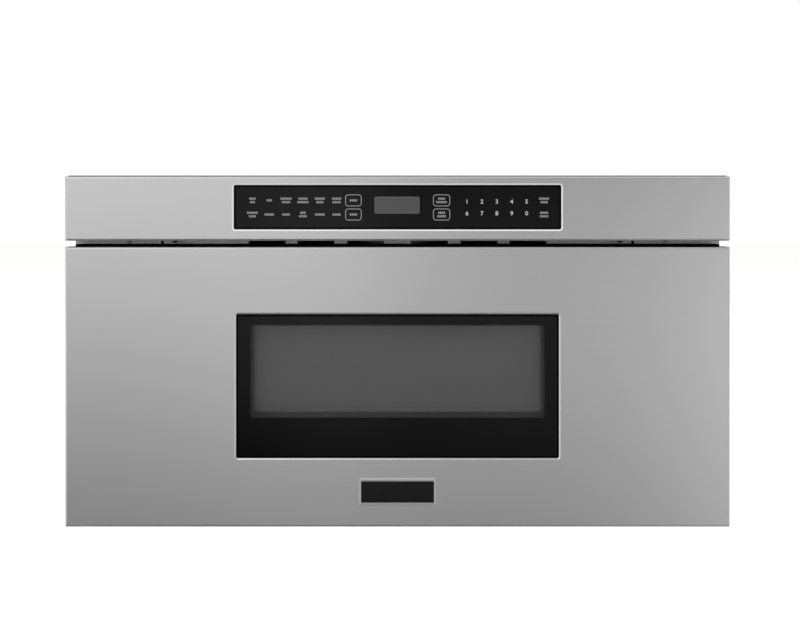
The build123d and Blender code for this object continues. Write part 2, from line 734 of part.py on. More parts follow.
MOUTH_Y = 0.0
with BuildPart() as cavity_bottom:
    with BuildSketch(facing(CAVITY_BACK)):
        panel(both(CAVITY_HALF + CAVITY_T), (CAVITY_FLOOR - CAVITY_HEM, CAVITY_FLOOR))
        panel(
            both(CAVITY_HALF),
            (CAVITY_FLOOR - CAVITY_HEM, CAVITY_FLOOR - CAVITY_T),
            mode=Mode.SUBTRACT,
        )
    extrude(amount=CAVITY_BACK - MOUTH_Y)
cavity_bottom.part.label = "cavity_bottom"
export_step(cavity_bottom.part, "parts/cavity_bottom.step")

with BuildPart() as cavity_side_right:
    with BuildSketch(level(CAVITY_FLOOR)):
        panel((CAVITY_HALF, CAVITY_HALF + CAVITY_T), (MOUTH_Y, CAVITY_BACK))
        panel((CAVITY_HALF, CAVITY_HALF + CAVITY_HEM), (MOUTH_Y, MOUTH_Y + CAVITY_T))
    extrude(amount=CAVITY_CEILING - CAVITY_FLOOR)
    side_mid = CAVITY_HALF + CAVITY_T / 2
    with Locations((side_mid, CAVITY_BACK * 0.75, 0)):
        for number in range(-4, 5):
            with Locations((0, 0, number * LOUVRE_PITCH)):
                Box(3 * CAVITY_T, LOUVRE_L, LOUVRE_W, mode=Mode.SUBTRACT)
cavity_side_right.part.label = "cavity_side_right"
export_step(cavity_side_right.part, "parts/cavity_side_right.step")
mirrored(cavity_side_right, "cavity_side_left")

with BuildPart() as cavity_top:
    with BuildSketch(facing(CAVITY_BACK)):
        panel(both(CAVITY_HALF + CAVITY_T), (CAVITY_CEILING, CAVITY_CEILING + CAVITY_HEM))
        panel(
            both(CAVITY_HALF),
            (CAVITY_CEILING + CAVITY_T, CAVITY_CEILING + CAVITY_HEM),
            mode=Mode.SUBTRACT,
        )
    extrude(amount=CAVITY_BACK - MOUTH_Y)
    with BuildSketch(level(CAVITY_CEILING)):
        with Locations((0, STIRRER_Y)):
            Circle(CEILING_HOLE_R)
    extrude(amount=CAVITY_T, mode=Mode.SUBTRACT)
cavity_top.part.label = "cavity_top"
export_step(cavity_top.part, "parts/cavity_top.step")

# A field pressed to the back stiffens the back wall
with BuildPart() as cavity_back:
    with BuildSketch(facing(CAVITY_BACK + CAVITY_T)):
        panel(both(CAVITY_HALF + CAVITY_T), (CAVITY_FLOOR - CAVITY_T, CAVITY_CEILING + CAVITY_T))
    extrude(amount=CAVITY_T)
    with BuildSketch(facing(CAVITY_BACK + CAVITY_T)):
        field_z = (CAVITY_FLOOR + BACK_FIELD_MARGIN, CAVITY_CEILING - BACK_FIELD_MARGIN)
        panel(both(CAVITY_HALF - BACK_FIELD_MARGIN), field_z, BACK_FIELD_CORNER)
    extrude(amount=-BEAD_H, taper=30)
    with BuildSketch(facing(CAVITY_BACK)):
        recess_z = (field_z[0] + CAVITY_T, field_z[1] - CAVITY_T)
        recess_x = both(CAVITY_HALF - BACK_FIELD_MARGIN - CAVITY_T)
        panel(recess_x, recess_z, BACK_FIELD_CORNER - CAVITY_T)
    extrude(amount=-BEAD_H, taper=30, mode=Mode.SUBTRACT)
cavity_back.part.label = "cavity_back"
export_step(cavity_back.part, "parts/cavity_back.step")

with BuildPart() as waveguide_cover:
    with BuildSketch(level(CAVITY_CEILING - MICA_T)):
        with Locations((0, STIRRER_Y)):
            Rectangle(MICA_W, MICA_W)
    extrude(amount=MICA_T)
waveguide_cover.part.label = "waveguide_cover"
export_step(waveguide_cover.part, "parts/waveguide_cover.step")

# Stirrer dome and waveguide are one pressed and welded piece, open over the ceiling hole
GUIDE_BOTTOM = CAVITY_CEILING + CAVITY_T
with BuildPart() as waveguide:
    with BuildSketch(level(GUIDE_BOTTOM)):
        with Locations((0, STIRRER_Y)):
            Circle(DOME_R)
        panel(both(GUIDE_W / 2), (STIRRER_Y, GUIDE_END))
    extrude(amount=GUIDE_H)
    with BuildSketch(level(GUIDE_BOTTOM)):
        with Locations((0, STIRRER_Y)):
            Circle(DOME_R - CAVITY_T)
    extrude(amount=GUIDE_H - CAVITY_T, mode=Mode.SUBTRACT)
    with BuildSketch(level(GUIDE_BOTTOM + CAVITY_T)):
        panel(both(GUIDE_W / 2 - CAVITY_T), (STIRRER_Y, GUIDE_END - CAVITY_T))
    extrude(amount=GUIDE_H - 2 * CAVITY_T, mode=Mode.SUBTRACT)
    with BuildSketch(level(GUIDE_BOTTOM)):
        with Locations((0, MAGNETRON_Y)):
            Circle(ANTENNA_R + BIN_SIDE_GAP / 2)
    extrude(amount=CAVITY_T, mode=Mode.SUBTRACT)
    with BuildSketch(level(DOME_TOP - CAVITY_T)):
        with Locations((0, STIRRER_Y)):
            Circle(STIRRER_SHAFT_R + CAVITY_T)
    extrude(amount=CAVITY_T, mode=Mode.SUBTRACT)
waveguide.part.label = "waveguide"
export_step(waveguide.part, "parts/waveguide.step")

with BuildPart() as stirrer_motor:
    with BuildSketch(level(DOME_TOP)):
        with Locations((0, STIRRER_Y)):
            SlotCenterToCenter(2 * STIRRER_EAR_X, 2 * STIRRER_EAR_R)
    extrude(amount=SUPPORT_T)
    with BuildSketch(level(DOME_TOP)):
        with Locations((0, STIRRER_Y)):
            Circle(STIRRER_MOTOR_R)
    extrude(amount=STIRRER_MOTOR_H)
    with BuildSketch(level(DOME_TOP)):
        with Locations((0, STIRRER_Y)):
            Circle(STIRRER_SHAFT_R + SHAFT_FIT)
    extrude(amount=STIRRER_BORE_D, mode=Mode.SUBTRACT)
stirrer_motor.part.label = "stirrer_motor"
export_step(stirrer_motor.part, "parts/stirrer_motor.step")

STIRRER_Z = GUIDE_BOTTOM + GUIDE_H * 0.45
with BuildPart() as stirrer_fan:
    with BuildSketch(level(STIRRER_Z - STIRRER_HUB_H / 2)):
        with Locations((0, STIRRER_Y)):
            Circle(STIRRER_HUB_R)
    extrude(amount=STIRRER_HUB_H)
    with BuildSketch(level(STIRRER_Z)):
        with Locations((0, STIRRER_Y)):
            Circle(STIRRER_SHAFT_R)
    extrude(amount=DOME_TOP + STIRRER_BORE_D - SHAFT_END_GAP - STIRRER_Z)
    with Locations((0, STIRRER_Y, STIRRER_Z)):
        with PolarLocations((STIRRER_R + STIRRER_HUB_R / 2) / 2, 4):
            Box(
                STIRRER_R - STIRRER_HUB_R / 2, STIRRER_BLADE_W, STIRRER_BLADE_T,
                rotation=(STIRRER_PITCH, 0, 0),
            )
stirrer_fan.part.label = "stirrer_fan"
export_step(stirrer_fan.part, "parts/stirrer_fan.step")

# ---------------------------------------------------------------- magnetron and fan

YOKE_BOTTOM = GUIDE_BOTTOM - MAGNETRON_H
YOKE_Y = (MAGNETRON_Y - MAGNETRON_D / 2, MAGNETRON_Y + MAGNETRON_D / 2)
YOKE_IN_Y = (YOKE_Y[0] + YOKE_T, YOKE_Y[1] - YOKE_T)
YOKE_MID = (YOKE_BOTTOM + GUIDE_BOTTOM) / 2
YOKE_IN_H = MAGNETRON_H - 2 * YOKE_T
with BuildPart() as magnetron:
    with BuildSketch(across(-MAGNETRON_W / 2)):
        panel(YOKE_Y, (YOKE_BOTTOM, GUIDE_BOTTOM))
        panel(YOKE_IN_Y, (YOKE_BOTTOM + YOKE_T, GUIDE_BOTTOM - YOKE_T), mode=Mode.SUBTRACT)
    extrude(amount=MAGNETRON_W)
    with BuildSketch(level(YOKE_MID - YOKE_IN_H / 2)):
        with Locations((0, MAGNETRON_Y)):
            RegularPolygon(ANODE_R, 12)
    extrude(amount=YOKE_IN_H)
    for number in range(FIN_COUNT):
        fin_z = YOKE_MID + (number - (FIN_COUNT - 1) / 2) * FIN_PITCH
        with BuildSketch(level(fin_z - FIN_T / 2)):
            panel(both(MAGNETRON_W / 2 - YOKE_T), YOKE_IN_Y)
        extrude(amount=FIN_T)
    for magnet_z in (YOKE_MID - YOKE_IN_H / 2, YOKE_MID + YOKE_IN_H / 2 - MAGNET_T):
        with BuildSketch(level(magnet_z)):
            with Locations((0, MAGNETRON_Y)):
                Circle(MAGNET_R)
        extrude(amount=MAGNET_T)
    with BuildSketch(level(GUIDE_BOTTOM)):
        with Locations((0, MAGNETRON_Y)):
            Circle(ANTENNA_R)
    extrude(amount=ANTENNA_L)
    with BuildSketch(level(YOKE_BOTTOM - FILTER_H)):
        panel(
            both(MAGNETRON_W / 2 - FILTER_INSET),
            (YOKE_Y[0] + FILTER_INSET, YOKE_Y[1] - FILTER_INSET),
        )
    extrude(amount=FILTER_H)
magnetron.part.label = "magnetron"
export_step(magnetron.part, "parts/magnetron.step")

FAN_PLANE = Plane(origin=(FAN_X, FAN_Y, FAN_Z), x_dir=(0, 1, 0), z_dir=(-1, 0, 0))
FAN_STRUT = FAN_ARM_L + FAN_RING_T
SHROUD_Y = (FAN_Y - SHROUD_W / 2, FAN_Y + SHROUD_W / 2)
with BuildPart() as fan_shroud:
    with BuildSketch(across(FAN_X)):
        panel(SHROUD_Y, (FLOOR_TOP, SHROUD_TOP))
        with Locations((FAN_Y, FAN_Z)):
            Circle(FAN_RING_R, mode=Mode.SUBTRACT)
    extrude(amount=SUPPORT_T)
    with BuildSketch(FAN_PLANE):
        Circle(FAN_RING_R + FAN_RING_T)
        Circle(FAN_RING_R, mode=Mode.SUBTRACT)
    extrude(amount=FAN_RING_D)
    with BuildSketch(FAN_PLANE):
        with PolarLocations(FAN_RING_R + FAN_RING_T / 2, 2, 90):
            Rectangle(FAN_RING_T, FAN_ARM_W)
    extrude(amount=FAN_ARM_L)
    with BuildSketch(FAN_PLANE.offset(FAN_ARM_L)):
        Rectangle(FAN_ARM_W, 2 * (FAN_RING_R + FAN_RING_T))
        Circle(FAN_SHAFT_R + FAN_RING_T, mode=Mode.SUBTRACT)
    extrude(amount=FAN_RING_T)
    block((FAN_X - SUPPORT_FOOT, FAN_X), SHROUD_Y, (FLOOR_TOP, FLOOR_TOP + SUPPORT_T))
fan_shroud.part.label = "fan_shroud"
export_step(fan_shroud.part, "parts/fan_shroud.step")

with BuildPart() as fan_motor:
    with BuildSketch(FAN_PLANE.offset(FAN_STRUT)):
        with Locations((0, -FAN_CORE_DROP)):
            Rectangle(FAN_CORE_W, FAN_CORE_H)
    extrude(amount=FAN_CORE_T)
    with BuildSketch(FAN_PLANE.offset(FAN_STRUT)):
        with Locations((0, -FAN_COIL_DROP)):
            Rectangle(FAN_COIL_W, FAN_COIL_H)
    extrude(amount=FAN_COIL_T)
    with BuildSketch(FAN_PLANE.offset(FAN_STRUT)):
        Circle(FAN_BEARING_R)
    extrude(amount=FAN_BEARING_T)
    with BuildSketch(FAN_PLANE.offset(FAN_STRUT)):
        Circle(FAN_SHAFT_R + SHAFT_FIT)
    extrude(amount=FAN_BORE_D, mode=Mode.SUBTRACT)
fan_motor.part.label = "fan_motor"
export_step(fan_motor.part, "parts/fan_motor.step")

FAN_R = FAN_RING_R - FAN_TIP_GAP
FAN_ROOT = 0.8 * FAN_HUB_R
with BuildPart() as fan_wheel:
    with BuildSketch(FAN_PLANE.offset((FAN_RING_D - FAN_HUB_T) / 2)):
        Circle(FAN_HUB_R)
    extrude(amount=FAN_HUB_T)
    with BuildSketch(FAN_PLANE.offset(FAN_RING_D / 2)):
        Circle(FAN_SHAFT_R)
    extrude(amount=FAN_STRUT + FAN_BORE_D - SHAFT_END_GAP - FAN_RING_D / 2)
    with Locations(FAN_PLANE.offset(FAN_RING_D / 2)):
        with PolarLocations((FAN_R + FAN_ROOT) / 2, FAN_BLADES):
            Box(FAN_R - FAN_ROOT, FAN_BLADE_W, FAN_BLADE_T, rotation=(FAN_PITCH, 0, 0))
fan_wheel.part.label = "fan_wheel"
export_step(fan_wheel.part, "parts/fan_wheel.step")

# ---------------------------------------------------------------- power parts

CORE_H = CORE_LEGS_HIGH * CORE_LEG_W
with BuildPart() as transformer_core:
    with BuildSketch(facing(CORE_Y + CORE_D)):
        with Locations((CORE_MID_X, FLOOR_TOP + CORE_H / 2)):
            Rectangle(CORE_LEGS_WIDE * CORE_LEG_W, CORE_H)
            with GridLocations(CORE_LEGS_WIDE / 2 * CORE_LEG_W, 1, 2, 1):
                Rectangle(CORE_LEG_W, CORE_H - 2 * CORE_LEG_W, mode=Mode.SUBTRACT)
    extrude(amount=CORE_D)
transformer_core.part.label = "transformer_core"
export_step(transformer_core.part, "parts/transformer_core.step")

COIL_T = CORE_LEG_W - COIL_GAP
COIL_H = 1.5 * (CORE_LEG_W - COIL_GAP)
with BuildPart() as transformer_coils:
    for number in range(2):
        coil_z = FLOOR_TOP + CORE_LEG_W + COIL_GAP + number * (COIL_H + COIL_GAP)
        with BuildSketch(level(coil_z)):
            with Locations((CORE_MID_X, CORE_Y + CORE_D / 2)):
                RectangleRounded(2 * (CORE_LEG_W + COIL_T), CORE_D + 2 * COIL_T, COIL_T)
                Rectangle(2 * (CORE_LEG_W + FIT), CORE_D + 2 * FIT, mode=Mode.SUBTRACT)
        extrude(amount=COIL_H)
transformer_coils.part.label = "transformer_coils"
export_step(transformer_coils.part, "parts/transformer_coils.step")

with BuildPart() as capacitor:
    with BuildSketch(level(FLOOR_TOP)):
        with Locations(Location((CAP_X, CAP_Y), 90)):
            SlotOverall(CAP_L, CAP_W)
    extrude(amount=CAP_H)
    with BuildSketch(level(FLOOR_TOP)):
        with Locations((CAP_X, CAP_Y)):
            Rectangle(CAP_STRAP_L, CAP_STRAP_W)
    extrude(amount=SUPPORT_T)
    with BuildSketch(level(FLOOR_TOP + CAP_H)):
        with Locations((CAP_X, CAP_Y)):
            with GridLocations(1, BLADE_PITCH, 1, 2):
                Rectangle(BLADE_T, BLADE_W)
    extrude(amount=BLADE_L)
capacitor.part.label = "capacitor"
export_step(capacitor.part, "parts/capacitor.step")

# The power board stands on posts beside the cavity
POWER_FACE = -CASE_IN + STANDOFF_H + BOARD_T
with BuildPart() as power_board:
    with BuildSketch(across(POWER_FACE)):
        with Locations((POWER_Y, POWER_Z)):
            Rectangle(POWER_W, POWER_H)
    extrude(amount=-BOARD_T)
    with BuildSketch(across(-CASE_IN)):
        with Locations((POWER_Y, POWER_Z)):
            with GridLocations(POWER_W - 2 * STANDOFF_INSET, POWER_H - 2 * STANDOFF_INSET, 2, 2):
                RegularPolygon(STANDOFF_R, 6)
    extrude(amount=STANDOFF_H)
    with BuildSketch(across(POWER_FACE)):
        with Locations((POWER_Y - RELAY_PITCH, POWER_Z + RELAY_RISE)):
            with GridLocations(RELAY_PITCH, 1, 3, 1):
                Rectangle(RELAY_W, RELAY_H)
    extrude(amount=RELAY_D)
    with BuildSketch(across(POWER_FACE)):
        with Locations((POWER_Y + CHOKE_COIL_W, POWER_Z - CHOKE_COIL_H)):
            Rectangle(CHOKE_COIL_W, CHOKE_COIL_H)
    extrude(amount=CHOKE_COIL_D)
    with BuildSketch(across(POWER_FACE)):
        with Locations((POWER_Y - RELAY_PITCH, POWER_Z - CHOKE_COIL_H)):
            with GridLocations(3 * SMOOTHING_R, 1, 2, 1):
                Circle(SMOOTHING_R)
    extrude(amount=SMOOTHING_D)
    with BuildSketch(across(POWER_FACE)):
        with Locations((POWER_Y + POWER_W / 2 - SINK_W, POWER_Z + RELAY_RISE)):
            with GridLocations(1, SINK_FIN_PITCH, 1, SINK_FINS):
                Rectangle(SINK_W, SINK_FIN_T)
            Rectangle(2 * SINK_FIN_T, (SINK_FINS - 1) * SINK_FIN_PITCH + SINK_FIN_T)
    extrude(amount=SINK_D)
power_board.part.label = "power_board"
export_step(power_board.part, "parts/power_board.step")

# ---------------------------------------------------------------- case

with BuildPart() as base_plate:
    with BuildSketch(facing(CASE_BACK)):
        panel(both(CASE_IN), (-CASE_TOP, FLOOR_TOP + CASE_HEM))
        panel(both(CASE_IN - CASE_T), (FLOOR_TOP, FLOOR_TOP + CASE_HEM), mode=Mode.SUBTRACT)
    extrude(amount=CASE_BACK)
    with BuildSketch(level(-CASE_TOP)):
        for side in (-1, 1):
            with Locations((side * (CASE_IN - LOUVRE_L), CASE_BACK / 2)):
                with GridLocations(1, LOUVRE_PITCH, 1, 9):
                    Rectangle(LOUVRE_L, LOUVRE_W)
    extrude(amount=CASE_T, mode=Mode.SUBTRACT)
base_plate.part.label = "base_plate"
export_step(base_plate.part, "parts/base_plate.step")



def cover_rings(wall):
    """Sketches the cover's two ring beads, drawn in by a wall on both sides."""
    ring_w, ring_l = CASE_BACK / 3, 0.7 * CASE_BACK
    with Locations((0, CASE_BACK / 2)):
        with GridLocations(2 * CASE_BACK / 5, 1, 2, 1):
            Rectangle(ring_w - 2 * wall, ring_l - 2 * wall)
            inside = 2 * wall - BEAD_W
            Rectangle(ring_w + inside, ring_l + inside, mode=Mode.SUBTRACT)


with BuildPart() as top_cover:
    with BuildSketch(facing(CASE_BACK)):
        panel(both(CASE_IN), (CASE_TOP - CASE_T - CASE_HEM, CASE_TOP))
        panel(
            both(CASE_IN - CASE_T),
            (CASE_TOP - CASE_T - CASE_HEM, CASE_TOP - CASE_T),
            mode=Mode.SUBTRACT,
        )
    extrude(amount=CASE_BACK)
    with BuildSketch(level(CASE_TOP - CASE_T)):
        cover_rings(0)
    extrude(amount=-BEAD_H / 2)
    with BuildSketch(level(CASE_TOP)):
        cover_rings(CASE_T)
    extrude(amount=-BEAD_H / 2, mode=Mode.SUBTRACT)
top_cover.part.label = "top_cover"
export_step(top_cover.part, "parts/top_cover.step")

with BuildPart() as side_panel_right:
    with BuildSketch(across(CASE_IN)):
        panel((MOUTH_Y, CASE_BACK), both(CASE_TOP))
        with Locations((0.72 * CASE_BACK, 0)):
            with GridLocations(LOUVRE_PITCH, 2 * LOUVRE_L, 8, 2):
                Rectangle(LOUVRE_W, LOUVRE_L, mode=Mode.SUBTRACT)
    extrude(amount=CASE_T)
    hem_z = CASE_TOP - CASE_T - CASE_HEM - FIT
    block((CASE_IN - CASE_HEM, CASE_IN), (MOUTH_Y, MOUTH_Y + CASE_T), both(hem_z))
    block((CASE_IN - CASE_HEM, CASE_IN), (CASE_BACK - CASE_T, CASE_BACK), both(hem_z))
side_panel_right.part.label = "side_panel_right"
export_step(side_panel_right.part, "parts/side_panel_right.step")
mirrored(side_panel_right, "side_panel_left")

with BuildPart() as rear_panel:
    with BuildSketch(facing(CHASSIS_D)):
        panel(both(CASE_HALF), both(CASE_TOP))
        with Locations((GLAND_X, GLAND_Z)):
            Circle(GLAND_R - FIT, mode=Mode.SUBTRACT)
        with Locations((FAN_X - LOUVRE_L, FAN_Z)):
            with GridLocations(1.5 * LOUVRE_L, LOUVRE_PITCH, 2, 9):
                Rectangle(LOUVRE_L, LOUVRE_W, mode=Mode.SUBTRACT)
    extrude(amount=CASE_T)
rear_panel.part.label = "rear_panel"
export_step(rear_panel.part, "parts/rear_panel.step")

# A snap-in bushing in the rear panel: a head outside, a collar inside, a bore through
GLAND_HEAD_R = 14.0
GLAND_HEAD_T = 6.0
GLAND_COLLAR = 9.0
GLAND_GRIP_R = GLAND_R - 2 * FIT
with BuildPart() as cord_gland:
    with BuildSketch(facing(CHASSIS_D + GLAND_HEAD_T)):
        with Locations((GLAND_X, GLAND_Z)):
            Circle(GLAND_HEAD_R)
    extrude(amount=GLAND_HEAD_T)
    with BuildSketch(facing(CHASSIS_D)):
        with Locations((GLAND_X, GLAND_Z)):
            Circle(GLAND_GRIP_R)
    extrude(amount=GLAND_COLLAR)
    with BuildSketch(facing(CHASSIS_D + GLAND_HEAD_T)):
        with Locations((GLAND_X, GLAND_Z)):
            Circle(GLAND_BORE_R)
    extrude(amount=GLAND_HEAD_T + GLAND_COLLAR, mode=Mode.SUBTRACT)
cord_gland.part.label = "cord_gland"
export_step(cord_gland.part, "parts/cord_gland.step")

# The duct leads the cooling air to the vents. It hangs behind the flange.
DUCT_HALF = VENT_X[-1] + VENT_W
DUCT_Z = (GAP_Z - VENT_H, GAP_Z + VENT_H)
DUCT_D = 96.0
with BuildPart() as front_duct:
    with BuildSketch(facing(DUCT_D)):
        panel(both(DUCT_HALF), DUCT_Z)
    extrude(amount=DUCT_D)
    with BuildSketch(facing(DUCT_D)):
        panel(
            both(DUCT_HALF - SUPPORT_T), (DUCT_Z[0] + SUPPORT_T, DUCT_Z[1] - SUPPORT_T)
        )
    extrude(amount=DUCT_D, mode=Mode.SUBTRACT)
    with BuildSketch(facing(MOUTH_Y + SUPPORT_T)):
        panel(both(DUCT_HALF + CAVITY_HEM), DUCT_Z)
        panel(both(DUCT_HALF - SUPPORT_T / 2), DUCT_Z, mode=Mode.SUBTRACT)
    extrude(amount=SUPPORT_T)
front_duct.part.label = "front_duct"
export_step(front_duct.part, "parts/front_duct.step")

# The lamp box stands against the cavity's louvred side, with the bulb inside it
LAMP_X = CAVITY_HALF + CAVITY_T
LAMP_PLANE = Plane(origin=(LAMP_X, LAMP_Y, LAMP_Z), x_dir=(0, 1, 0), z_dir=(1, 0, 0))
LAMP_IN = LAMP_W - 2 * CAVITY_T
with BuildPart() as oven_lamp:
    with BuildSketch(LAMP_PLANE):
        Rectangle(LAMP_W + 2 * LAMP_TAB, LAMP_W)
        Rectangle(LAMP_IN, LAMP_IN, mode=Mode.SUBTRACT)
    extrude(amount=CAVITY_T)
    with BuildSketch(LAMP_PLANE):
        Rectangle(LAMP_W, LAMP_W)
    extrude(amount=LAMP_D)
    with BuildSketch(LAMP_PLANE):
        Rectangle(LAMP_IN, LAMP_IN)
    extrude(amount=LAMP_D - CAVITY_T, mode=Mode.SUBTRACT)
    with BuildSketch(LAMP_PLANE.offset(LAMP_BULB_GAP)):
        Circle(LAMP_BULB_R)
    extrude(amount=LAMP_D - LAMP_BULB_GAP)
oven_lamp.part.label = "oven_lamp"
export_step(oven_lamp.part, "parts/oven_lamp.step")

# ---------------------------------------------------------------- rails


def channel(web, mouth, half):
    """Lipped C section between its web and its mouth, in the object's X and Z."""
    lip = RAIL_T + RAIL_LIP
    panel((mouth, web), (RAIL_Z - half, RAIL_Z + half))
    panel(
        (mouth + RAIL_T, web - RAIL_T),
        (RAIL_Z - half + RAIL_T, RAIL_Z + half - RAIL_T),
        mode=Mode.SUBTRACT,
    )
    panel((mouth, mouth + RAIL_T), (RAIL_Z - half + lip, RAIL_Z + half - lip), mode=Mode.SUBTRACT)


def slide_step(level_in):
    """Room that each member further in leaves to the one round it."""
    return level_in * (RAIL_T + FIT)


MIDDLE_HALF = RAIL_HALF - slide_step(1)
BEAD_HALF = RAIL_HALF - slide_step(2)
NECK_HALF = MIDDLE_HALF - RAIL_T - RAIL_LIP - FIT
BEAD_X = RAIL_X + slide_step(2)
BEAD_WEB = RAIL_WEB_X - slide_step(2)

with BuildPart() as rail_outer_right:
    with BuildSketch(facing(RAIL_START + RAIL_L)):
        channel(RAIL_WEB_X, RAIL_X, RAIL_HALF)
    extrude(amount=RAIL_L)
rail_outer_right.part.label = "rail_outer_right"
export_step(rail_outer_right.part, "parts/rail_outer_right.step")
mirrored(rail_outer_right, "rail_outer_left")

with BuildPart() as rail_middle_right:
    with BuildSketch(facing(RAIL_START + RAIL_MIDDLE_L)):
        channel(RAIL_WEB_X - slide_step(1), RAIL_X + slide_step(1), MIDDLE_HALF)
    extrude(amount=RAIL_MIDDLE_L)
rail_middle_right.part.label = "rail_middle_right"
export_step(rail_middle_right.part, "parts/rail_middle_right.step")
mirrored(rail_middle_right, "rail_middle_left")

upper_half = [
    (RAIL_X, NECK_HALF),
    (BEAD_X, NECK_HALF),
    (BEAD_X, BEAD_HALF),
    (BEAD_WEB, BEAD_HALF),
    (BEAD_WEB, BEAD_HALF - RAIL_T),
    (BEAD_X + RAIL_T, BEAD_HALF - RAIL_T),
    (BEAD_X + RAIL_T, NECK_HALF - RAIL_T),
    (RAIL_X + RAIL_T, NECK_HALF - RAIL_T),
]
with BuildPart() as rail_inner_right:
    with BuildSketch(facing(RAIL_START + RAIL_L)):
        with BuildLine():
            upper = [(x, RAIL_Z + rise) for x, rise in upper_half]
            lower = [(x, RAIL_Z - rise) for x, rise in reversed(upper_half)]
            Polyline(*upper, *lower, close=True)
        make_face()
    extrude(amount=RAIL_L)
rail_inner_right.part.label = "rail_inner_right"
export_step(rail_inner_right.part, "parts/rail_inner_right.step")
mirrored(rail_inner_right, "rail_inner_left")

SUPPORT_TOP = RAIL_Z + RAIL_HALF + RAIL_LIP
with BuildPart() as rail_supports:
    for side in (-1, 1):
        with BuildSketch(facing(RAIL_START + RAIL_L)):
            leaf = (side * RAIL_WEB_X, side * (RAIL_WEB_X + SUPPORT_T))
            foot = (side * RAIL_WEB_X, side * (RAIL_WEB_X + SUPPORT_FOOT))
            panel((min(leaf), max(leaf)), (FLOOR_TOP, SUPPORT_TOP))
            panel((min(foot), max(foot)), (FLOOR_TOP, FLOOR_TOP + SUPPORT_T))
        extrude(amount=RAIL_L)
rail_supports.part.label = "rail_supports"
export_step(rail_supports.part, "parts/rail_supports.step")

with BuildPart() as rail_brackets:
    for side in (-1, 1):
        with BuildSketch(level(RAIL_Z - BRACKET_H / 2)):
            arm = (side * (RAIL_X - BRACKET_T), side * RAIL_X)
            panel((min(arm), max(arm)), (DOOR_REAR, BRACKET_REACH))
        extrude(amount=BRACKET_H)
        foot = (side * (RAIL_X - BRACKET_T), side * (RAIL_X + BRACKET_FOOT))
        foot_z = (RAIL_Z - BRACKET_FOOT_H / 2, RAIL_Z + BRACKET_H / 2)
        block((min(foot), max(foot)), (DOOR_REAR, DOOR_REAR + BRACKET_T), foot_z)
rail_brackets.part.label = "rail_brackets"
export_step(rail_brackets.part, "parts/rail_brackets.step")

# ---------------------------------------------------------------- rack and pinion

PINION_TIP = PINION_R + MODULE
PINION_ROOT = PINION_R - DEDENDUM
PINION_BASE = PINION_R * cos(PRESSURE)


def involute(angle):
    return tan(angle) - angle


def half_tooth(radius):
    """Half the angle that a pinion tooth covers at this radius."""
    at_pitch = (pi / PINION_TEETH - BACKLASH / (2 * PINION_R)) / 2
    steep = acos(min(1.0, PINION_BASE / radius))
    return at_pitch + involute(PRESSURE) - involute(steep)


def pinion_outline():
    """Outline of the whole pinion, with one tooth pointing straight down at the rack."""
    radii = (PINION_ROOT, PINION_BASE, PINION_R, PINION_TIP)
    steps = [(radius, -1) for radius in radii] + [(radius, 1) for radius in reversed(radii)]
    points = []
    for tooth in range(PINION_TEETH):
        centre = -pi / 2 + tooth * 2 * pi / PINION_TEETH
        for radius, side in steps:
            angle = centre + side * half_tooth(radius)
            points.append((radius * cos(angle), radius * sin(angle)))
    return points


with BuildPart() as drive_pinion:
    with BuildSketch(Plane((-PINION_W / 2, PINION_Y, PINION_Z), x_dir=(0, 1, 0), z_dir=(1, 0, 0))):
        with BuildLine():
            Polyline(*pinion_outline(), close=True)
        make_face()
    extrude(amount=PINION_W)
    with BuildSketch(across(-PINION_W / 2 - SHAFT_R)):
        with Locations((PINION_Y, PINION_Z)):
            Circle(SHAFT_R)
    extrude(amount=SHAFT_R + PINION_W / 2 + MOTOR_LEAF_X + SUPPORT_T + GEARBOX_W / 2)
drive_pinion.part.label = "drive_pinion"
export_step(drive_pinion.part, "parts/drive_pinion.step")


def rack_outline():
    """Outline of the rack, with a gap between teeth under the pinion's lowest tooth."""
    last = int((RACK_END - PINION_Y) / RACK_PITCH) - 1
    first = -2
    root, tip = RACK_PITCH_Z - DEDENDUM, RACK_PITCH_Z + MODULE
    at_pitch = (RACK_PITCH - BACKLASH) / 4
    foot = at_pitch + DEDENDUM * tan(PRESSURE)
    crest = at_pitch - MODULE * tan(PRESSURE)
    points = [(DOOR_REAR, RACK_BOTTOM), (DOOR_REAR, root)]
    for tooth in range(first, last):
        centre = PINION_Y + (tooth + 0.5) * RACK_PITCH
        points += [(centre - foot, root), (centre - crest, tip)]
        points += [(centre + crest, tip), (centre + foot, root)]
    return points + [(RACK_END, root), (RACK_END, RACK_BOTTOM)]


with BuildPart() as drive_rack:
    with BuildSketch(across(-RACK_W / 2)):
        with BuildLine():
            Polyline(*rack_outline(), close=True)
        make_face()
    extrude(amount=RACK_W)
    block(
        both(RACK_FOOT_W / 2), (DOOR_REAR, DOOR_REAR + BRACKET_T),
        (RACK_BOTTOM, RACK_BOTTOM + RACK_FOOT_H),
    )
drive_rack.part.label = "drive_rack"
export_step(drive_rack.part, "parts/drive_rack.step")

GEARBOX_X = MOTOR_LEAF_X + SUPPORT_T
GEARBOX_Y = PINION_Y - GEARBOX_NOSE
LEAF_Y = (GEARBOX_Y - SUPPORT_T, GEARBOX_Y + GEARBOX_D)
with BuildPart() as motor_bracket:
    with BuildSketch(across(MOTOR_LEAF_X)):
        panel(LEAF_Y, (FLOOR_TOP, PINION_Z + GEARBOX_H / 2))
        with Locations((PINION_Y, PINION_Z)):
            Circle(SHAFT_R + SUPPORT_T, mode=Mode.SUBTRACT)
    extrude(amount=SUPPORT_T)
    block(
        (MOTOR_LEAF_X, MOTOR_LEAF_X + GEARBOX_W), LEAF_Y, (FLOOR_TOP, FLOOR_TOP + SUPPORT_T)
    )
motor_bracket.part.label = "motor_bracket"
export_step(motor_bracket.part, "parts/motor_bracket.step")

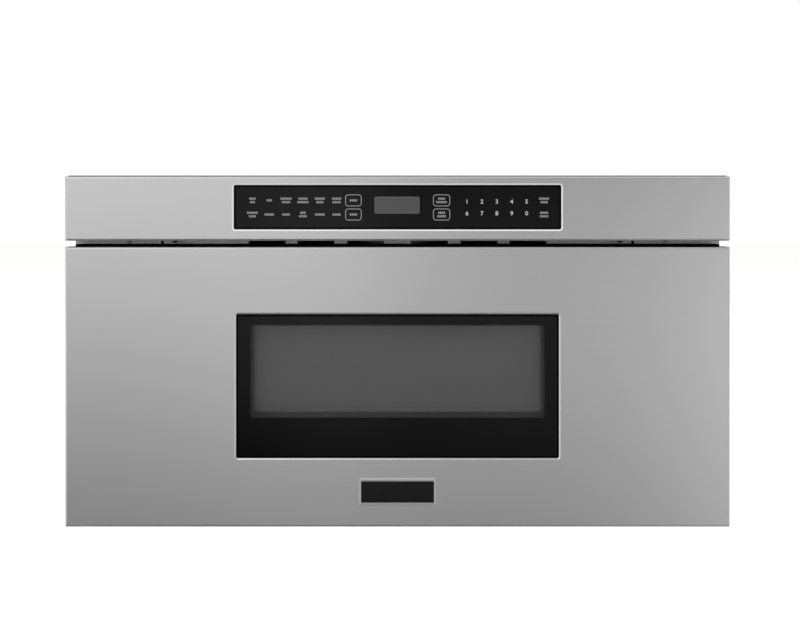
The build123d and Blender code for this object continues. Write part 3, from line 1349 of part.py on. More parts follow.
with BuildPart() as drive_motor:
    with BuildSketch(across(GEARBOX_X)):
        panel(
            (GEARBOX_Y, GEARBOX_Y + GEARBOX_D),
            (PINION_Z - GEARBOX_H / 2, PINION_Z + GEARBOX_H / 2),
        )
    extrude(amount=GEARBOX_W)
    chamfer(drive_motor.faces().sort_by(Axis.X)[-1].edges(), CASE_BEND)
    with BuildSketch(facing(GEARBOX_Y + GEARBOX_D)):
        with Locations((GEARBOX_X + GEARBOX_W / 2, PINION_Z)):
            Circle(MOTOR_R)
    extrude(amount=-MOTOR_L)
    with BuildSketch(across(GEARBOX_X)):
        with Locations((PINION_Y, PINION_Z)):
            Circle(SHAFT_R + SHAFT_FIT)
    extrude(amount=GEARBOX_W / 2 + SHAFT_END_GAP, mode=Mode.SUBTRACT)
drive_motor.part.label = "drive_motor"
export_step(drive_motor.part, "parts/drive_motor.step")

RACK_GUIDE_TOP = RACK_PITCH_Z - RACK_GUIDE_DROP
with BuildPart() as rack_guide:
    with BuildSketch(facing(PINION_Y + RACK_GUIDE_AFTER)):
        panel(both(RACK_W / 2 + RACK_GUIDE_WALL), (FLOOR_TOP, RACK_GUIDE_TOP))
        panel(both(RACK_W / 2 + FIT), (RACK_BOTTOM - FIT, RACK_GUIDE_TOP), mode=Mode.SUBTRACT)
    extrude(amount=RACK_GUIDE_BEFORE + RACK_GUIDE_AFTER)
rack_guide.part.label = "rack_guide"
export_step(rack_guide.part, "parts/rack_guide.step")

# ---------------------------------------------------------------- interlocks

POCKET_Z = (HOOK_BOTTOM - HOLDER_ROOM, HOOK_TOP + HOLDER_ROOM)
HOLDER_Z = (POCKET_Z[0] - HOLDER_WALL, POCKET_Z[1] + HOLDER_WALL)
POCKET_HALF = PLUNGER_HEAD_W / 2 + SHAFT_END_GAP
POCKET_D = HOOK_REACH + 2 * HOLDER_ROOM
PLUNGER_Z = HOOK_TOP - PLUNGER_DROP
PLUNGER_START = HOOK_REACH + FIT
with BuildPart() as interlock_holders:
    for side in (-1, 1):
        with BuildSketch(facing(HOLDER_D)):
            with Locations((side * LATCH_X, 0)):
                panel(both(POCKET_HALF + HOLDER_WALL), HOLDER_Z)
        extrude(amount=HOLDER_D)
        with BuildSketch(facing(POCKET_D)):
            with Locations((side * LATCH_X, 0)):
                panel(both(POCKET_HALF), POCKET_Z)
        extrude(amount=POCKET_D, mode=Mode.SUBTRACT)
        with BuildSketch(facing(HOLDER_D)):
            with Locations((side * LATCH_X, PLUNGER_Z)):
                Rectangle(PLUNGER_W + 2 * SHAFT_FIT, PLUNGER_W + 2 * SHAFT_FIT)
        extrude(amount=HOLDER_D - POCKET_D, mode=Mode.SUBTRACT)
interlock_holders.part.label = "interlock_holders"
export_step(interlock_holders.part, "parts/interlock_holders.step")

for side_name, side in SIDES:
    with BuildPart() as switch_plunger:
        with BuildSketch(facing(PLUNGER_START + PLUNGER_L)):
            with Locations((side * LATCH_X, PLUNGER_Z)):
                Rectangle(PLUNGER_W, PLUNGER_W)
        extrude(amount=PLUNGER_L)
        with BuildSketch(facing(PLUNGER_START + PLUNGER_HEAD_T)):
            with Locations((side * LATCH_X, PLUNGER_Z)):
                Rectangle(PLUNGER_HEAD_W, PLUNGER_HEAD_W)
        extrude(amount=PLUNGER_HEAD_T)
    switch_plunger.part.label = f"switch_plunger_{side_name}"
    export_step(switch_plunger.part, f"parts/switch_plunger_{side_name}.step")
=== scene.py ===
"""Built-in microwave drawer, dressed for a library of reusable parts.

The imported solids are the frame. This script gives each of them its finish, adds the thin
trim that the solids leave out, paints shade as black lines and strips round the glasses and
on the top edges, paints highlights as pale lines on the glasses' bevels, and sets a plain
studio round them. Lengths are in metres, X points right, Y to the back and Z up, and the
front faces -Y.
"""
import logging
import math
from dataclasses import dataclass
from enum import Enum
from typing import ClassVar, Sequence

import bpy
import numpy as np
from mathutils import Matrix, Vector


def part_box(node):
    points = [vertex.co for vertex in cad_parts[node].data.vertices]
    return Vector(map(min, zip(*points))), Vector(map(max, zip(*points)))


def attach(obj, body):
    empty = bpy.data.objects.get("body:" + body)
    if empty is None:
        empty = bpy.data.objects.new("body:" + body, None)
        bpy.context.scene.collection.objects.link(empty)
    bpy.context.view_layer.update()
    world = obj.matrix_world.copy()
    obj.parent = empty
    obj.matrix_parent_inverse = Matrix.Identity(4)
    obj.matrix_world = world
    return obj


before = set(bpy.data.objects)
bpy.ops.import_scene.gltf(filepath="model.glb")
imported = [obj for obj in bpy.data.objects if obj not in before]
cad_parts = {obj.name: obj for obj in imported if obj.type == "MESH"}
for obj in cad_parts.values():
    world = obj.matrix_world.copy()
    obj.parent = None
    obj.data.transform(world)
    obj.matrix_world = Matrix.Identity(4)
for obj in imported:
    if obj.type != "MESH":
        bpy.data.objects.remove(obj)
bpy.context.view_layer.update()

LOG = logging.getLogger("microwave_drawer")
MM = 0.001
INK = 0.05 * MM  # how far a print stands off the surface that carries it
BEVEL = (1.6 * MM, 0.8 * MM)  # width and depth of the bevel round a glass's opening
REVEAL = 1.1 * MM  # gap between a glass and its opening
GLASS_CORNER = 2 * MM  # corner radius of both glasses
SHADE_STRIP_SET = 4.5 * MM  # from a skin's face to the painted-shade strip on its top
SHADE_STRIP_CHAMFER = 0.1  # how much of a shade strip's rise its upper edges are drawn in by
SIGHT_LOW = (-167.75 * MM, -72.5 * MM)  # X and Z of the see-through part's lower corner
SIGHT_HIGH = (167.75 * MM, 33.6 * MM)  # X and Z of its upper corner

Nodes = bpy.types.NodeTree
Socket = bpy.types.NodeSocket


# ------------------------------------------------------------------ colours and nodes


def linear(colour: str, share: float = 1.0) -> tuple[float, float, float, float]:
    """Turns an sRGB hex colour to the linear values that shaders take.

    Args:
        colour: Six hex digits.
        share: How much of that colour is left, for a darker or lighter tone of it.

    Returns:
        Red, green, blue and an alpha of 1.
    """
    tones = np.array([int(colour[i : i + 2], 16) for i in (0, 2, 4)]) / 255
    curve = np.where(tones <= 0.04045, tones / 12.92, ((tones + 0.055) / 1.055) ** 2.4)
    return (*np.clip(curve * share, 0, 1).tolist(), 1.0)


def add_node(tree: Nodes, kind: str, sockets: dict | None = None, **settings) -> bpy.types.Node:
    """Adds a node with its settings and links.

    Args:
        tree: The node tree that gets it.
        kind: Blender's name for the node type.
        sockets: Input name or number, and what feeds it: a value, an output, or a node
            whose first output is meant.
        settings: Properties of the node itself.

    Returns:
        The new node.
    """
    node = tree.nodes.new(kind)
    for name, value in settings.items():
        setattr(node, name, value)
    for name, value in (sockets or {}).items():
        if isinstance(value, bpy.types.Node):
            value = value.outputs[0]
        if isinstance(value, bpy.types.NodeSocket):
            tree.links.new(value, node.inputs[name])
        else:
            node.inputs[name].default_value = value
    return node


class Along(Enum):
    """The axis that a drawn or brushed grain follows."""

    X = 0
    Y = 1
    Z = 2


@dataclass(frozen=True)
class Finish:
    """What a surface is made of, as one even coat. Sub-classes add how it was made."""

    name: str
    colour: str
    roughness: float
    metallic: float = 0.0
    ior: float = 1.5
    specular: float = 0.5
    coat: float = 0.0
    coat_roughness: float = 0.05

    def material(self) -> bpy.types.Material:
        """Makes the finish's material, or finds it where it is made already.

        Returns:
            The Blender material.
        """
        made = bpy.data.materials.get(self.name)
        if made:
            return made
        made = bpy.data.materials.new(self.name)
        made.use_nodes = True
        shader = made.node_tree.nodes["Principled BSDF"]
        shader.inputs["Base Color"].default_value = linear(self.colour)
        shader.inputs["Roughness"].default_value = self.roughness
        shader.inputs["Metallic"].default_value = self.metallic
        if not self.metallic:
            shader.inputs["IOR"].default_value = self.ior
            shader.inputs["Specular IOR Level"].default_value = self.specular
        shader.inputs["Coat Weight"].default_value = self.coat
        shader.inputs["Coat Roughness"].default_value = self.coat_roughness
        self.pattern(made.node_tree, shader)
        return made

    def pattern(self, tree: Nodes, shader: bpy.types.Node) -> None:
        """Adds the pattern of the surface. An even coat has none."""

    def mottle(self, tree: Nodes, spacing: Sequence[float], detail: float = 2.0) -> Socket:
        """Soft noise on the object's own coordinates.

        Args:
            tree: The material's nodes.
            spacing: Distance between blobs along X, Y and Z.
            detail: Octaves of finer noise inside each blob.

        Returns:
            The noise, from 0 to 1.
        """
        place = add_node(tree, "ShaderNodeTexCoord").outputs["Object"]
        scale = tuple(1 / step for step in spacing)
        scaled = add_node(tree, "ShaderNodeMapping", {"Vector": place, "Scale": scale})
        sockets = {"Vector": scaled, "Scale": 1.0, "Detail": detail}
        return add_node(tree, "ShaderNodeTexNoise", sockets).outputs["Fac"]

    def tint(self, tree: Nodes, shader: bpy.types.Node, fac: Socket, spread: float) -> None:
        """Lets the colour change with a factor.

        Args:
            tree: The material's nodes.
            shader: Its Principled node.
            fac: The factor, from 0 to 1.
            spread: How much darker and lighter it goes, as a share.
        """
        low, high = linear(self.colour, 1 - spread), linear(self.colour, 1 + spread)
        mix = add_node(tree, "ShaderNodeMix", {"Factor": fac, 6: low, 7: high}, data_type="RGBA")
        tree.links.new(mix.outputs[2], shader.inputs["Base Color"])

    def gloss(self, tree: Nodes, shader: bpy.types.Node, fac: Socket, spread: float) -> None:
        """Lets the roughness change with a factor.

        Args:
            tree: The material's nodes.
            shader: Its Principled node.
            fac: The factor, from 0 to 1.
            spread: How far it goes below and above the finish's own.
        """
        low, high = self.roughness - spread, self.roughness + spread
        eased = add_node(tree, "ShaderNodeMapRange", {"Value": fac, "To Min": low, "To Max": high})
        tree.links.new(eased.outputs[0], shader.inputs["Roughness"])

    def relief(self, tree: Nodes, shader: bpy.types.Node, height: Socket, depth: float) -> None:
        """Raises the surface by up to depth with the height."""
        bump = add_node(tree, "ShaderNodeBump", {"Height": height, "Distance": depth})
        tree.links.new(bump.outputs[0], shader.inputs["Normal"])


@dataclass(frozen=True)
class GrainedMetal(Finish):
    """Rolled, drawn or belt-brushed metal: long fine lines in one direction.

    The real lines are about 0.1 mm apart. They are drawn coarser, so that they show.
    """

    along: Along = Along.X
    line: float = 1.1 * MM
    run: float = 95 * MM
    spread: float = 0.04
    depth: float = 0.004 * MM
    stretch: float = 0.0
    smear: tuple[float, float, float] = (0.0, 0.3, 1.0)
    gloss_part: int = 8

    def pattern(self, tree: Nodes, shader: bpy.types.Node) -> None:
        """Streaks of colour, roughness and relief along the grain.

        Where it has a stretch, highlights are drawn out by it along the smear's axis,
        across the brush lines.

        Args:
            tree: The material's nodes.
            shader: Its Principled node.
        """
        spacing = [self.line] * 3
        spacing[self.along.value] = self.run
        streaks = self.mottle(tree, spacing, 3.0)
        self.tint(tree, shader, streaks, self.spread)
        self.gloss(tree, shader, streaks, self.roughness / self.gloss_part)
        self.relief(tree, shader, streaks, self.depth)
        if self.stretch:
            shader.inputs["Anisotropic"].default_value = self.stretch
            axis = add_node(tree, "ShaderNodeCombineXYZ", dict(zip("XYZ", self.smear)))
            tree.links.new(axis.outputs[0], shader.inputs["Tangent"])


@dataclass(frozen=True)
class SpangledZinc(Finish):
    """Hot-dip zinc on sheet steel: flat crystals, each with its own tone."""

    crystal: float = 7 * MM
    spread: float = 0.05
    sheen: float = 0.04
    ripple: float = 0.05 * MM

    def pattern(self, tree: Nodes, shader: bpy.types.Node) -> None:
        """Cells of slightly different tone and gloss, with a trace of rolling ripple.

        Args:
            tree: The material's nodes.
            shader: Its Principled node.
        """
        place = add_node(tree, "ShaderNodeTexCoord").outputs["Object"]
        sockets = {"Vector": place, "Scale": 1 / self.crystal}
        cells = add_node(tree, "ShaderNodeTexVoronoi", sockets)
        tone = add_node(tree, "ShaderNodeSeparateColor", {"Color": cells.outputs["Color"]})
        self.tint(tree, shader, tone.outputs[0], self.spread)
        self.gloss(tree, shader, tone.outputs[1], self.sheen)
        self.relief(tree, shader, self.mottle(tree, [3 * self.crystal] * 3), self.ripple)


@dataclass(frozen=True)
class SpeckledEnamel(Finish):
    """Baked enamel with pale and dark specks, over a faint orange peel."""

    speck: float = 1.6 * MM
    spread: float = 0.22
    sharpen: tuple[float, float] = (0.38, 0.62)
    peel: float = 0.03 * MM

    def pattern(self, tree: Nodes, shader: bpy.types.Node) -> None:
        """Specks from sharpened fine noise, and a broader ripple in the coat.

        Args:
            tree: The material's nodes.
            shader: Its Principled node.
        """
        fine = self.mottle(tree, [self.speck] * 3, 1.0)
        low, high = self.sharpen
        sockets = {"Value": fine, "From Min": low, "From Max": high}
        sharp = add_node(tree, "ShaderNodeMapRange", sockets)
        self.tint(tree, shader, sharp.outputs[0], self.spread)
        self.relief(tree, shader, self.mottle(tree, [4 * self.speck] * 3), self.peel)


@dataclass(frozen=True)
class GrainedPlastic(Finish):
    """Injection-moulded plastic with the fine spark-eroded grain of its tool."""

    grain: float = 0.9 * MM
    flow: int = 40
    gloss_part: int = 6
    spread: float = 0.07
    depth: float = 0.02 * MM

    def pattern(self, tree: Nodes, shader: bpy.types.Node) -> None:
        """Fine grain in relief, and a slow change of tone as the melt flowed.

        Args:
            tree: The material's nodes.
            shader: Its Principled node.
        """
        grain = self.mottle(tree, [self.grain] * 3, 3.0)
        flow = self.mottle(tree, [self.flow * self.grain] * 3)
        self.tint(tree, shader, flow, self.spread)
        self.gloss(tree, shader, grain, self.roughness / self.gloss_part)
        self.relief(tree, shader, grain, self.depth)


@dataclass(frozen=True)
class Layered(Finish):
    """Stacked sheets or wound wire: even lines across one axis."""

    across: Along = Along.Y
    pitch: float = 2.0 * MM
    spread: float = 0.25
    depth: float = 0.15 * MM

    def pattern(self, tree: Nodes, shader: bpy.types.Node) -> None:
        """A sine across the stack, whose trough is the dark gap between two layers.

        Args:
            tree: The material's nodes.
            shader: Its Principled node.
        """
        place = add_node(tree, "ShaderNodeTexCoord").outputs["Object"]
        parts = add_node(tree, "ShaderNodeSeparateXYZ", {"Vector": place})
        sockets = {0: parts.outputs[self.across.value], 1: 2 * math.pi / self.pitch}
        turn = add_node(tree, "ShaderNodeMath", sockets, operation="MULTIPLY")
        wave = add_node(tree, "ShaderNodeMath", {0: turn}, operation="SINE")
        layer = add_node(tree, "ShaderNodeMapRange", {"Value": wave, "From Min": -1.0}).outputs[0]
        self.tint(tree, shader, layer, self.spread)
        self.relief(tree, shader, layer, self.depth)


@dataclass(frozen=True)
class PerforatedSheet(Finish):
    """Lacquered steel sheet with round holes in rows, too small for microwaves to pass."""

    pitch: float = 1.5 * MM
    hole: float = 0.45 * MM
    soft: float = 0.2
    hole_colour: str = "202021"

    def pattern(self, tree: Nodes, shader: bpy.types.Node) -> None:
        """Dark discs on a square grid: the distance from the middle of each cell.

        The place is taken modulo the pitch, wrapped to be positive, less half a pitch, and
        flattened along Y. Its length, eased over the hole's rim, mixes the two colours.

        Args:
            tree: The material's nodes.
            shader: Its Principled node.
        """
        cell, half = (self.pitch,) * 3, (self.pitch / 2,) * 3
        place = add_node(tree, "ShaderNodeTexCoord").outputs["Object"]
        for operation, *values in (
            ("MODULO", cell), ("WRAP", cell, (0.0,) * 3), ("SUBTRACT", half),
            ("MULTIPLY", (1.0, 0.0, 1.0)),
        ):
            sockets = dict(enumerate((place, *values)))
            place = add_node(tree, "ShaderNodeVectorMath", sockets, operation=operation)
        away = add_node(tree, "ShaderNodeVectorMath", {0: place}, operation="LENGTH")
        low, high = self.hole * (1 - self.soft), self.hole * (1 + self.soft)
        sockets = {"Value": away.outputs["Value"], "From Min": low, "From Max": high}
        sheet = add_node(tree, "ShaderNodeMapRange", sockets)
        sockets = {"Factor": sheet, 6: linear(self.hole_colour), 7: linear(self.colour)}
        mix = add_node(tree, "ShaderNodeMix", sockets, data_type="RGBA")
        tree.links.new(mix.outputs[2], shader.inputs["Base Color"])


@dataclass(frozen=True)
class ClearGlass(Finish):
    """Float glass: smooth, clear, and open to the light of lamps."""

    def pattern(self, tree: Nodes, shader: bpy.types.Node) -> None:
        """Full transmission, which lamps' shadow rays pass straight through.

        Args:
            tree: The material's nodes.
            shader: Its Principled node.
        """
        shader.inputs["Transmission Weight"].default_value = 1.0
        lamps = add_node(tree, "ShaderNodeLightPath").outputs["Is Shadow Ray"]
        passed = add_node(tree, "ShaderNodeBsdfTransparent", {"Color": linear(self.colour)})
        mix = add_node(tree, "ShaderNodeMixShader", {0: lamps, 1: shader, 2: passed})
        tree.links.new(mix.outputs[0], tree.nodes["Material Output"].inputs["Surface"])


@dataclass(frozen=True)
class CircuitBoard(Finish):
    """Glass-epoxy laminate under solder mask, with paler copper tracks below it."""

    track: float = 4.0 * MM
    spread: float = 0.30

    def pattern(self, tree: Nodes, shader: bpy.types.Node) -> None:
        """Square-edged patches of a second tone, as copper shows through the mask.

        Args:
            tree: The material's nodes.
            shader: Its Principled node.
        """
        place = add_node(tree, "ShaderNodeTexCoord").outputs["Object"]
        sockets = {"Vector": place, "Scale": 1 / self.track}
        cells = add_node(tree, "ShaderNodeTexVoronoi", sockets, distance="CHEBYCHEV")
        self.tint(tree, shader, cells.outputs["Distance"], self.spread)


# Belt-brushed 304 stainless: warm grey, and its lines run across the front.
STAINLESS = GrainedMetal("brushed_304_stainless", "CFCFCF", 0.34, 1.0, stretch=0.55)
# The flange is the same steel as rolled, without the brushing. Its darker colour is painted shade,
# for the dim gap that it shows through.
FLANGE_STEEL = GrainedMetal(
    "rolled_304_stainless", "989898", 0.30, 1.0, line=1.6 * MM, spread=0.05
)
# Painted highlight: a near-white, mostly matt line on the bevel round the control glass, which
# stands in for the bright edge there.
CONTROL_BEVEL_HIGHLIGHT = GrainedMetal(
    "painted_bevel_highlight", "EAEAEA", 0.35, 0.12, line=0.6 * MM, run=0.6 * MM
)
# Painted highlight on the door window's bevel: paler than the steel and mostly metallic, so it
# mirrors more and is brighter on some sides than on others.
WINDOW_BEVEL_HIGHLIGHT = GrainedMetal("painted_mirroring_bevel_highlight", "D8D8D8", 0.24, 0.75, line=0.6 * MM, run=0.6 * MM)
# The badge's rim is satin, and duller than the brushed front.
SATIN_RIM = GrainedMetal("satin_nickel_rim", "C6C6C6", 0.40, 1.0, line=0.5 * MM, run=3 * MM)
# Hot-dip zinc: cool grey with visible crystals, between satin and dull.
ZINC_SHEET = SpangledZinc("hot_dip_zinc_sheet", "AEB2B5", 0.42, 1.0)
# Electroplated zinc on rolled slide sections and on screws: brighter and bluer.
PLATED_ZINC = GrainedMetal(
    "bright_zinc_plate", "C4C8CC", 0.26, 1.0, along=Along.Y, line=0.8 * MM, spread=0.05
)
SCREW_ZINC = GrainedMetal("zinc_plated_screw", "BFC2C4", 0.30, 1.0, line=1.4 * MM, run=2.0 * MM)
# Acrylic-baked grey enamel of the cavity: satin with specks that hide soil.
GREY_ENAMEL = SpeckledEnamel("baked_grey_enamel", "77787A", 0.34, coat=0.3)
# Float glass over a black ceramic print, which the window's border also shows: a deep
# gloss. Its specular level is under a real glass's, to keep its reflections weak.
BLACK_GLASS = GrainedPlastic(
    "black_printed_glass", "0B0B0C", 0.05, specular=0.10, grain=60 * MM, spread=0.3, depth=0.0
)
# Clear float glass. Its index is under the real 1.5, which weakens what the pane mirrors.
CLEAR_GLASS = ClearGlass("clear_float_glass", "F2F2F2", 0.0, ior=1.2)
# Painted shade: flat black for the dark line round each glass and the dark strips on the skins' top
# edges.
PAINTED_SHADE_BLACK = GrainedPlastic("flat_black_painted_shade", "050505", 1.0, specular=0.0)
# Black ABS of the housings: fine grain, semi-matt.
BLACK_ABS = GrainedPlastic("black_moulded_abs", "17181A", 0.48)
# Polypropylene strip over the choke: a little paler and waxier than the housings.
CHOKE_COVER = GrainedPlastic("dark_polypropylene", "26272A", 0.42, grain=1.2 * MM)
# Natural acetal of gears and guides: milky white, waxy.
ACETAL = GrainedPlastic("natural_acetal", "E2E0D8", 0.38, depth=0.004 * MM)
# Glass-epoxy boards under green solder mask: satin, with a second tone over the copper.
GREEN_BOARD = CircuitBoard("green_circuit_laminate", "14532D", 0.35)
# Opal glass-ceramic plate: smooth and nearly white.
GLASS_CERAMIC = SpeckledEnamel("opal_glass_ceramic", "E4E2DC", 0.18, spread=0.03, coat=0.4)
# Pressed mica: flaky, straw brown and half matt.
MICA = GrainedPlastic("pressed_mica", "A08F70", 0.55, grain=3 * MM, spread=0.22)
# Pressed aluminium: pale grey with short drawing marks.
ALUMINIUM = GrainedMetal("pressed_aluminium", "CDD0D2", 0.34, 1.0, line=2.0 * MM, run=12 * MM)
# Varnished laminations: nearly black, with the line between each pair of sheets.
CORE_STACK = Layered("varnished_laminations", "2C2A28", 0.5)
# Enamelled copper wire: red-brown, ribbed by its turns.
COPPER_COIL = Layered(
    "enamelled_copper_coil", "8A4B22", 0.35, 0.7, across=Along.Z, pitch=3.2 * MM
)
# Screen behind the window: grey lacquer on steel, with dark holes.
WINDOW_SCREEN = PerforatedSheet("lacquered_screen_sheet", "666666", 0.45, 0.9)
# Walls between the two panes: dark and matt, so that they stay out of sight.
TUNNEL_PLASTIC = GrainedPlastic("dark_moulded_polyester", "202020", 0.6)
# Screen-printed inks on the glass: flat greys, the digits brighter than the legends.
LEGEND_INK = GrainedPlastic("pale_legend_ink", "848585", 0.55, depth=0.0)
DIGIT_INK = GrainedPlastic("bright_legend_ink", "BEBFBF", 0.55, depth=0.0)
# Polarising film of the unlit display, dark grey, and the paler rim of its window.
LCD_FILM = GrainedPlastic("lcd_polariser_film", "414141", 0.30, grain=0.5 * MM, depth=0.0)
LCD_EDGE = GrainedPlastic("lcd_window_edge", "4C4D4D", 0.35, depth=0.0)
# Poured enamel in the badge's field: black and glossy.
BADGE_ENAMEL = SpeckledEnamel("black_badge_enamel", "131314", 0.12, spread=0.2)
# Nitrile rubber: black, dull and slightly rough.
RUBBER = GrainedPlastic("black_nitrile_rubber", "141414", 0.75, grain=1.4 * MM)


# ------------------------------------------------------------------ surfaces


def placed(name: str, data: bpy.types.ID) -> bpy.types.Object:
    """Makes an object and links it to the scene, at the origin and unturned.

    Args:
        name: The object's name.
        data: Its mesh, curve, lamp or camera.

    Returns:
        The object.
    """
    made = bpy.data.objects.new(name, data)
    bpy.context.scene.collection.objects.link(made)
    return made


@dataclass
class Surface:
    """Points and faces of one piece, as whole arrays."""

    points: np.ndarray
    faces: list[np.ndarray]

    @staticmethod
    def grid(points: np.ndarray, wrap: tuple[bool, bool], capped: bool = False) -> "Surface":
        """A surface over two parameters, as quads between neighbouring points.

        Args:
            points: Rows by columns by 3.
            wrap: Whether the last row meets the first, and the last column the first.
            capped: Whether the first and last row are closed by a flat face each.

        Returns:
            The surface. Faces turn from rows towards columns.
        """
        rows, columns = points.shape[:2]
        row = np.arange(rows if wrap[0] else rows - 1)
        column = np.arange(columns if wrap[1] else columns - 1)
        i, j = (axis.ravel() for axis in np.meshgrid(row, column, indexing="ij"))
        following, beside = (i + 1) % rows, (j + 1) % columns
        corners = ((i, j), (following, j), (following, beside), (i, beside))
        faces = [np.stack([a * columns + b for a, b in corners], axis=1)]
        if capped:
            first = np.arange(columns)
            faces.append(first[None, :])
            faces.append(first[None, ::-1] + (rows - 1) * columns)
        return Surface(points.reshape(-1, 3), faces)

    def copies(self, places: np.ndarray) -> "Surface":
        """The same surface at each place, as one.

        Args:
            places: How far each copy is moved, copies by 3.

        Returns:
            All the copies together.
        """
        count = len(self.points)
        points = (self.points[None] + places[:, None]).reshape(-1, 3)
        starts = (np.arange(len(places)) * count)[:, None, None]
        faces = [(f[None] + starts).reshape(-1, f.shape[1]) for f in self.faces]
        return Surface(points, faces)

    def joined(self, *others: "Surface") -> "Surface":
        """This surface and the others as one.

        Args:
            others: The surfaces to add.

        Returns:
            All of them together.
        """
        points, faces = self.points, list(self.faces)
        for other in others:
            faces += [f + len(points) for f in other.faces]
            points = np.concatenate([points, other.points])
        return Surface(points, faces)

    def outward(self) -> "Surface":
        """The closed surface with its faces turned outwards.

        The volume is the sum, over fans of each face, of a . (b x c) / 6. Where it comes
        out negative, the faces point inwards and each is turned round.

        Returns:
            The surface itself or its turned copy.
        """
        volume = 0.0
        for face in self.faces:
            a = self.points[face[:, 0]]
            for k in range(1, face.shape[1] - 1):
                b, c = self.points[face[:, k]], self.points[face[:, k + 1]]
                volume += float(np.einsum("ij,ij->", a, np.cross(b, c)))
        return self if volume > 0 else Surface(self.points, [f[:, ::-1] for f in self.faces])

    def mesh(self, name: str, smooth: bool = False) -> bpy.types.Mesh:
        """Puts the points and faces into a Blender mesh.

        Args:
            name: The mesh's name.
            smooth: Whether light runs smoothly over its faces.

        Returns:
            The mesh.
        """
        mesh = bpy.data.meshes.new(name)
        loops = np.concatenate([f.ravel() for f in self.faces])
        sizes = np.concatenate([np.full(len(f), f.shape[1]) for f in self.faces])
        starts = np.concatenate([[0], np.cumsum(sizes)[:-1]])
        mesh.vertices.add(len(self.points))
        mesh.vertices.foreach_set("co", self.points.astype(np.float32).ravel())
        mesh.loops.add(len(loops))
        mesh.loops.foreach_set("vertex_index", loops.astype(np.int32))
        mesh.polygons.add(len(sizes))
        mesh.polygons.foreach_set("loop_start", starts.astype(np.int32))
        mesh.polygons.foreach_set("use_smooth", np.full(len(sizes), smooth))
        mesh.update(calc_edges=True)
        mesh.validate()
        return mesh

    def piece(
        self, name: str, finish: Finish, body: str, slot: str, smooth: bool = False
    ) -> bpy.types.Object:
        """Makes the Blender object and lets it ride on its body.

        Args:
            name: The piece's name.
            finish: What it is made of.
            body: The CAD body that it moves with.
            slot: A material slot's name; not used.
            smooth: Whether light runs smoothly over its faces.

        Returns:
            The object.
        """
        mesh = self.mesh(name, smooth)
        mesh.materials.append(finish.material())
        made = placed(name, mesh)
        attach(made, body)
        LOG.info("%s: %d faces on %s", name, len(mesh.polygons), body)
        return made


def rounded_outline(width: float, height: float, radius: float, steps: int = 6) -> np.ndarray:
    """Outline of a rounded rectangle round the origin, anticlockwise.

    Each corner's centre, plus the radius times the cosine and sine of an angle that turns
    a quarter from one side to the next.

    Args:
        width: Along the first axis.
        height: Along the second axis.
        radius: Of the corners.
        steps: Straight pieces in each corner.

    Returns:
        Points by 2.
    """
    turn = np.arange(4)[:, None] * math.pi / 2 + np.linspace(0, math.pi / 2, steps + 1)
    signs = np.array([[1, 1], [-1, 1], [-1, -1], [1, -1]])
    centres = signs * (width / 2 - radius, height / 2 - radius)
    arcs = centres[:, None] + radius * np.stack([np.cos(turn), np.sin(turn)], axis=-1)
    return arcs.reshape(-1, 2)


def upright(
    low: Sequence[float], high: Sequence[float]
) -> tuple[tuple[float, float], tuple[float, float]]:
    """Width and height of a box as seen from the front, and the X and Z of its middle."""
    return (high[0] - low[0], high[2] - low[2]), ((low[0] + high[0]) / 2, (low[2] + high[2]) / 2)


def on_front(outline: np.ndarray, centre: tuple[float, float], y: float) -> np.ndarray:
    """Puts a flat outline upright, at depth y, with its second axis as height."""
    x, z = outline[:, 0] + centre[0], outline[:, 1] + centre[1]
    return np.stack([x, np.full(len(x), y), z], axis=1)


def ring(outer: np.ndarray, inner: np.ndarray, centre: tuple[float, float],
         front: float, back: float) -> Surface:
    """Flat frame between two outlines of as many points.

    Its section is a rectangle, carried round: outer front, inner front, inner back and
    outer back.

    Args:
        outer: The outside, points by 2.
        inner: The inside, points by 2.
        centre: X and Z of both outlines' origin.
        front: Depth of the front face.
        back: Depth of the back face.

    Returns:
        The closed frame.
    """
    loops = ((outer, front), (inner, front), (inner, back), (outer, back))
    section = np.stack([on_front(line, centre, y) for line, y in loops])
    return Surface.grid(section, (True, True)).outward()


def plate(outline: np.ndarray, centre: tuple[float, float], front: float, back: float,
          edge: float) -> Surface:
    """Flat plate with a small bevel round its front face.

    The outline is drawn in by the edge at the front, full from the edge's depth on, and
    full at the back.

    Args:
        outline: Points by 2.
        centre: X and Z of the outline's origin.
        front: Depth of the front face.
        back: Depth of the back face.
        edge: Width and depth of the bevel.

    Returns:
        The closed plate.
    """
    reach = np.abs(outline).max(axis=0)
    drawn_in = outline * (1 - edge / reach)
    loops = ((drawn_in, front), (outline, front + edge), (outline, back))
    section = np.stack([on_front(line, centre, y) for line, y in loops])
    return Surface.grid(section, (False, True), capped=True).outward()


def dashes(centres: np.ndarray, sizes: np.ndarray, y: float) -> Surface:
    """Printed dashes on an upright face, as thin closed strips.

    Each strip's eight corners are its centre plus half its size times the signs of a
    cube's corners.

    Args:
        centres: X and Z of each dash, dashes by 2.
        sizes: Width and height of each dash, dashes by 2.
        y: Depth of the face that carries them.

    Returns:
        All the dashes as one surface.
    """
    corner = np.array([[-1, -1], [1, -1], [1, 1], [-1, 1]]) / 2
    flat = centres[:, None] + corner[None] * sizes[:, None]
    layers = [
        np.stack([flat[..., 0], np.full(flat.shape[:2], depth), flat[..., 1]], axis=-1)
        for depth in (y - INK, y)
    ]
    points = np.concatenate(layers, axis=1)
    cube = np.array([
        [0, 1, 2, 3], [7, 6, 5, 4], [0, 4, 5, 1], [1, 5, 6, 2], [2, 6, 7, 3], [3, 7, 4, 0]
    ])
    faces = (cube[None] + 8 * np.arange(len(points))[:, None, None]).reshape(-1, 4)
    return Surface(points.reshape(-1, 3), [faces]).outward()


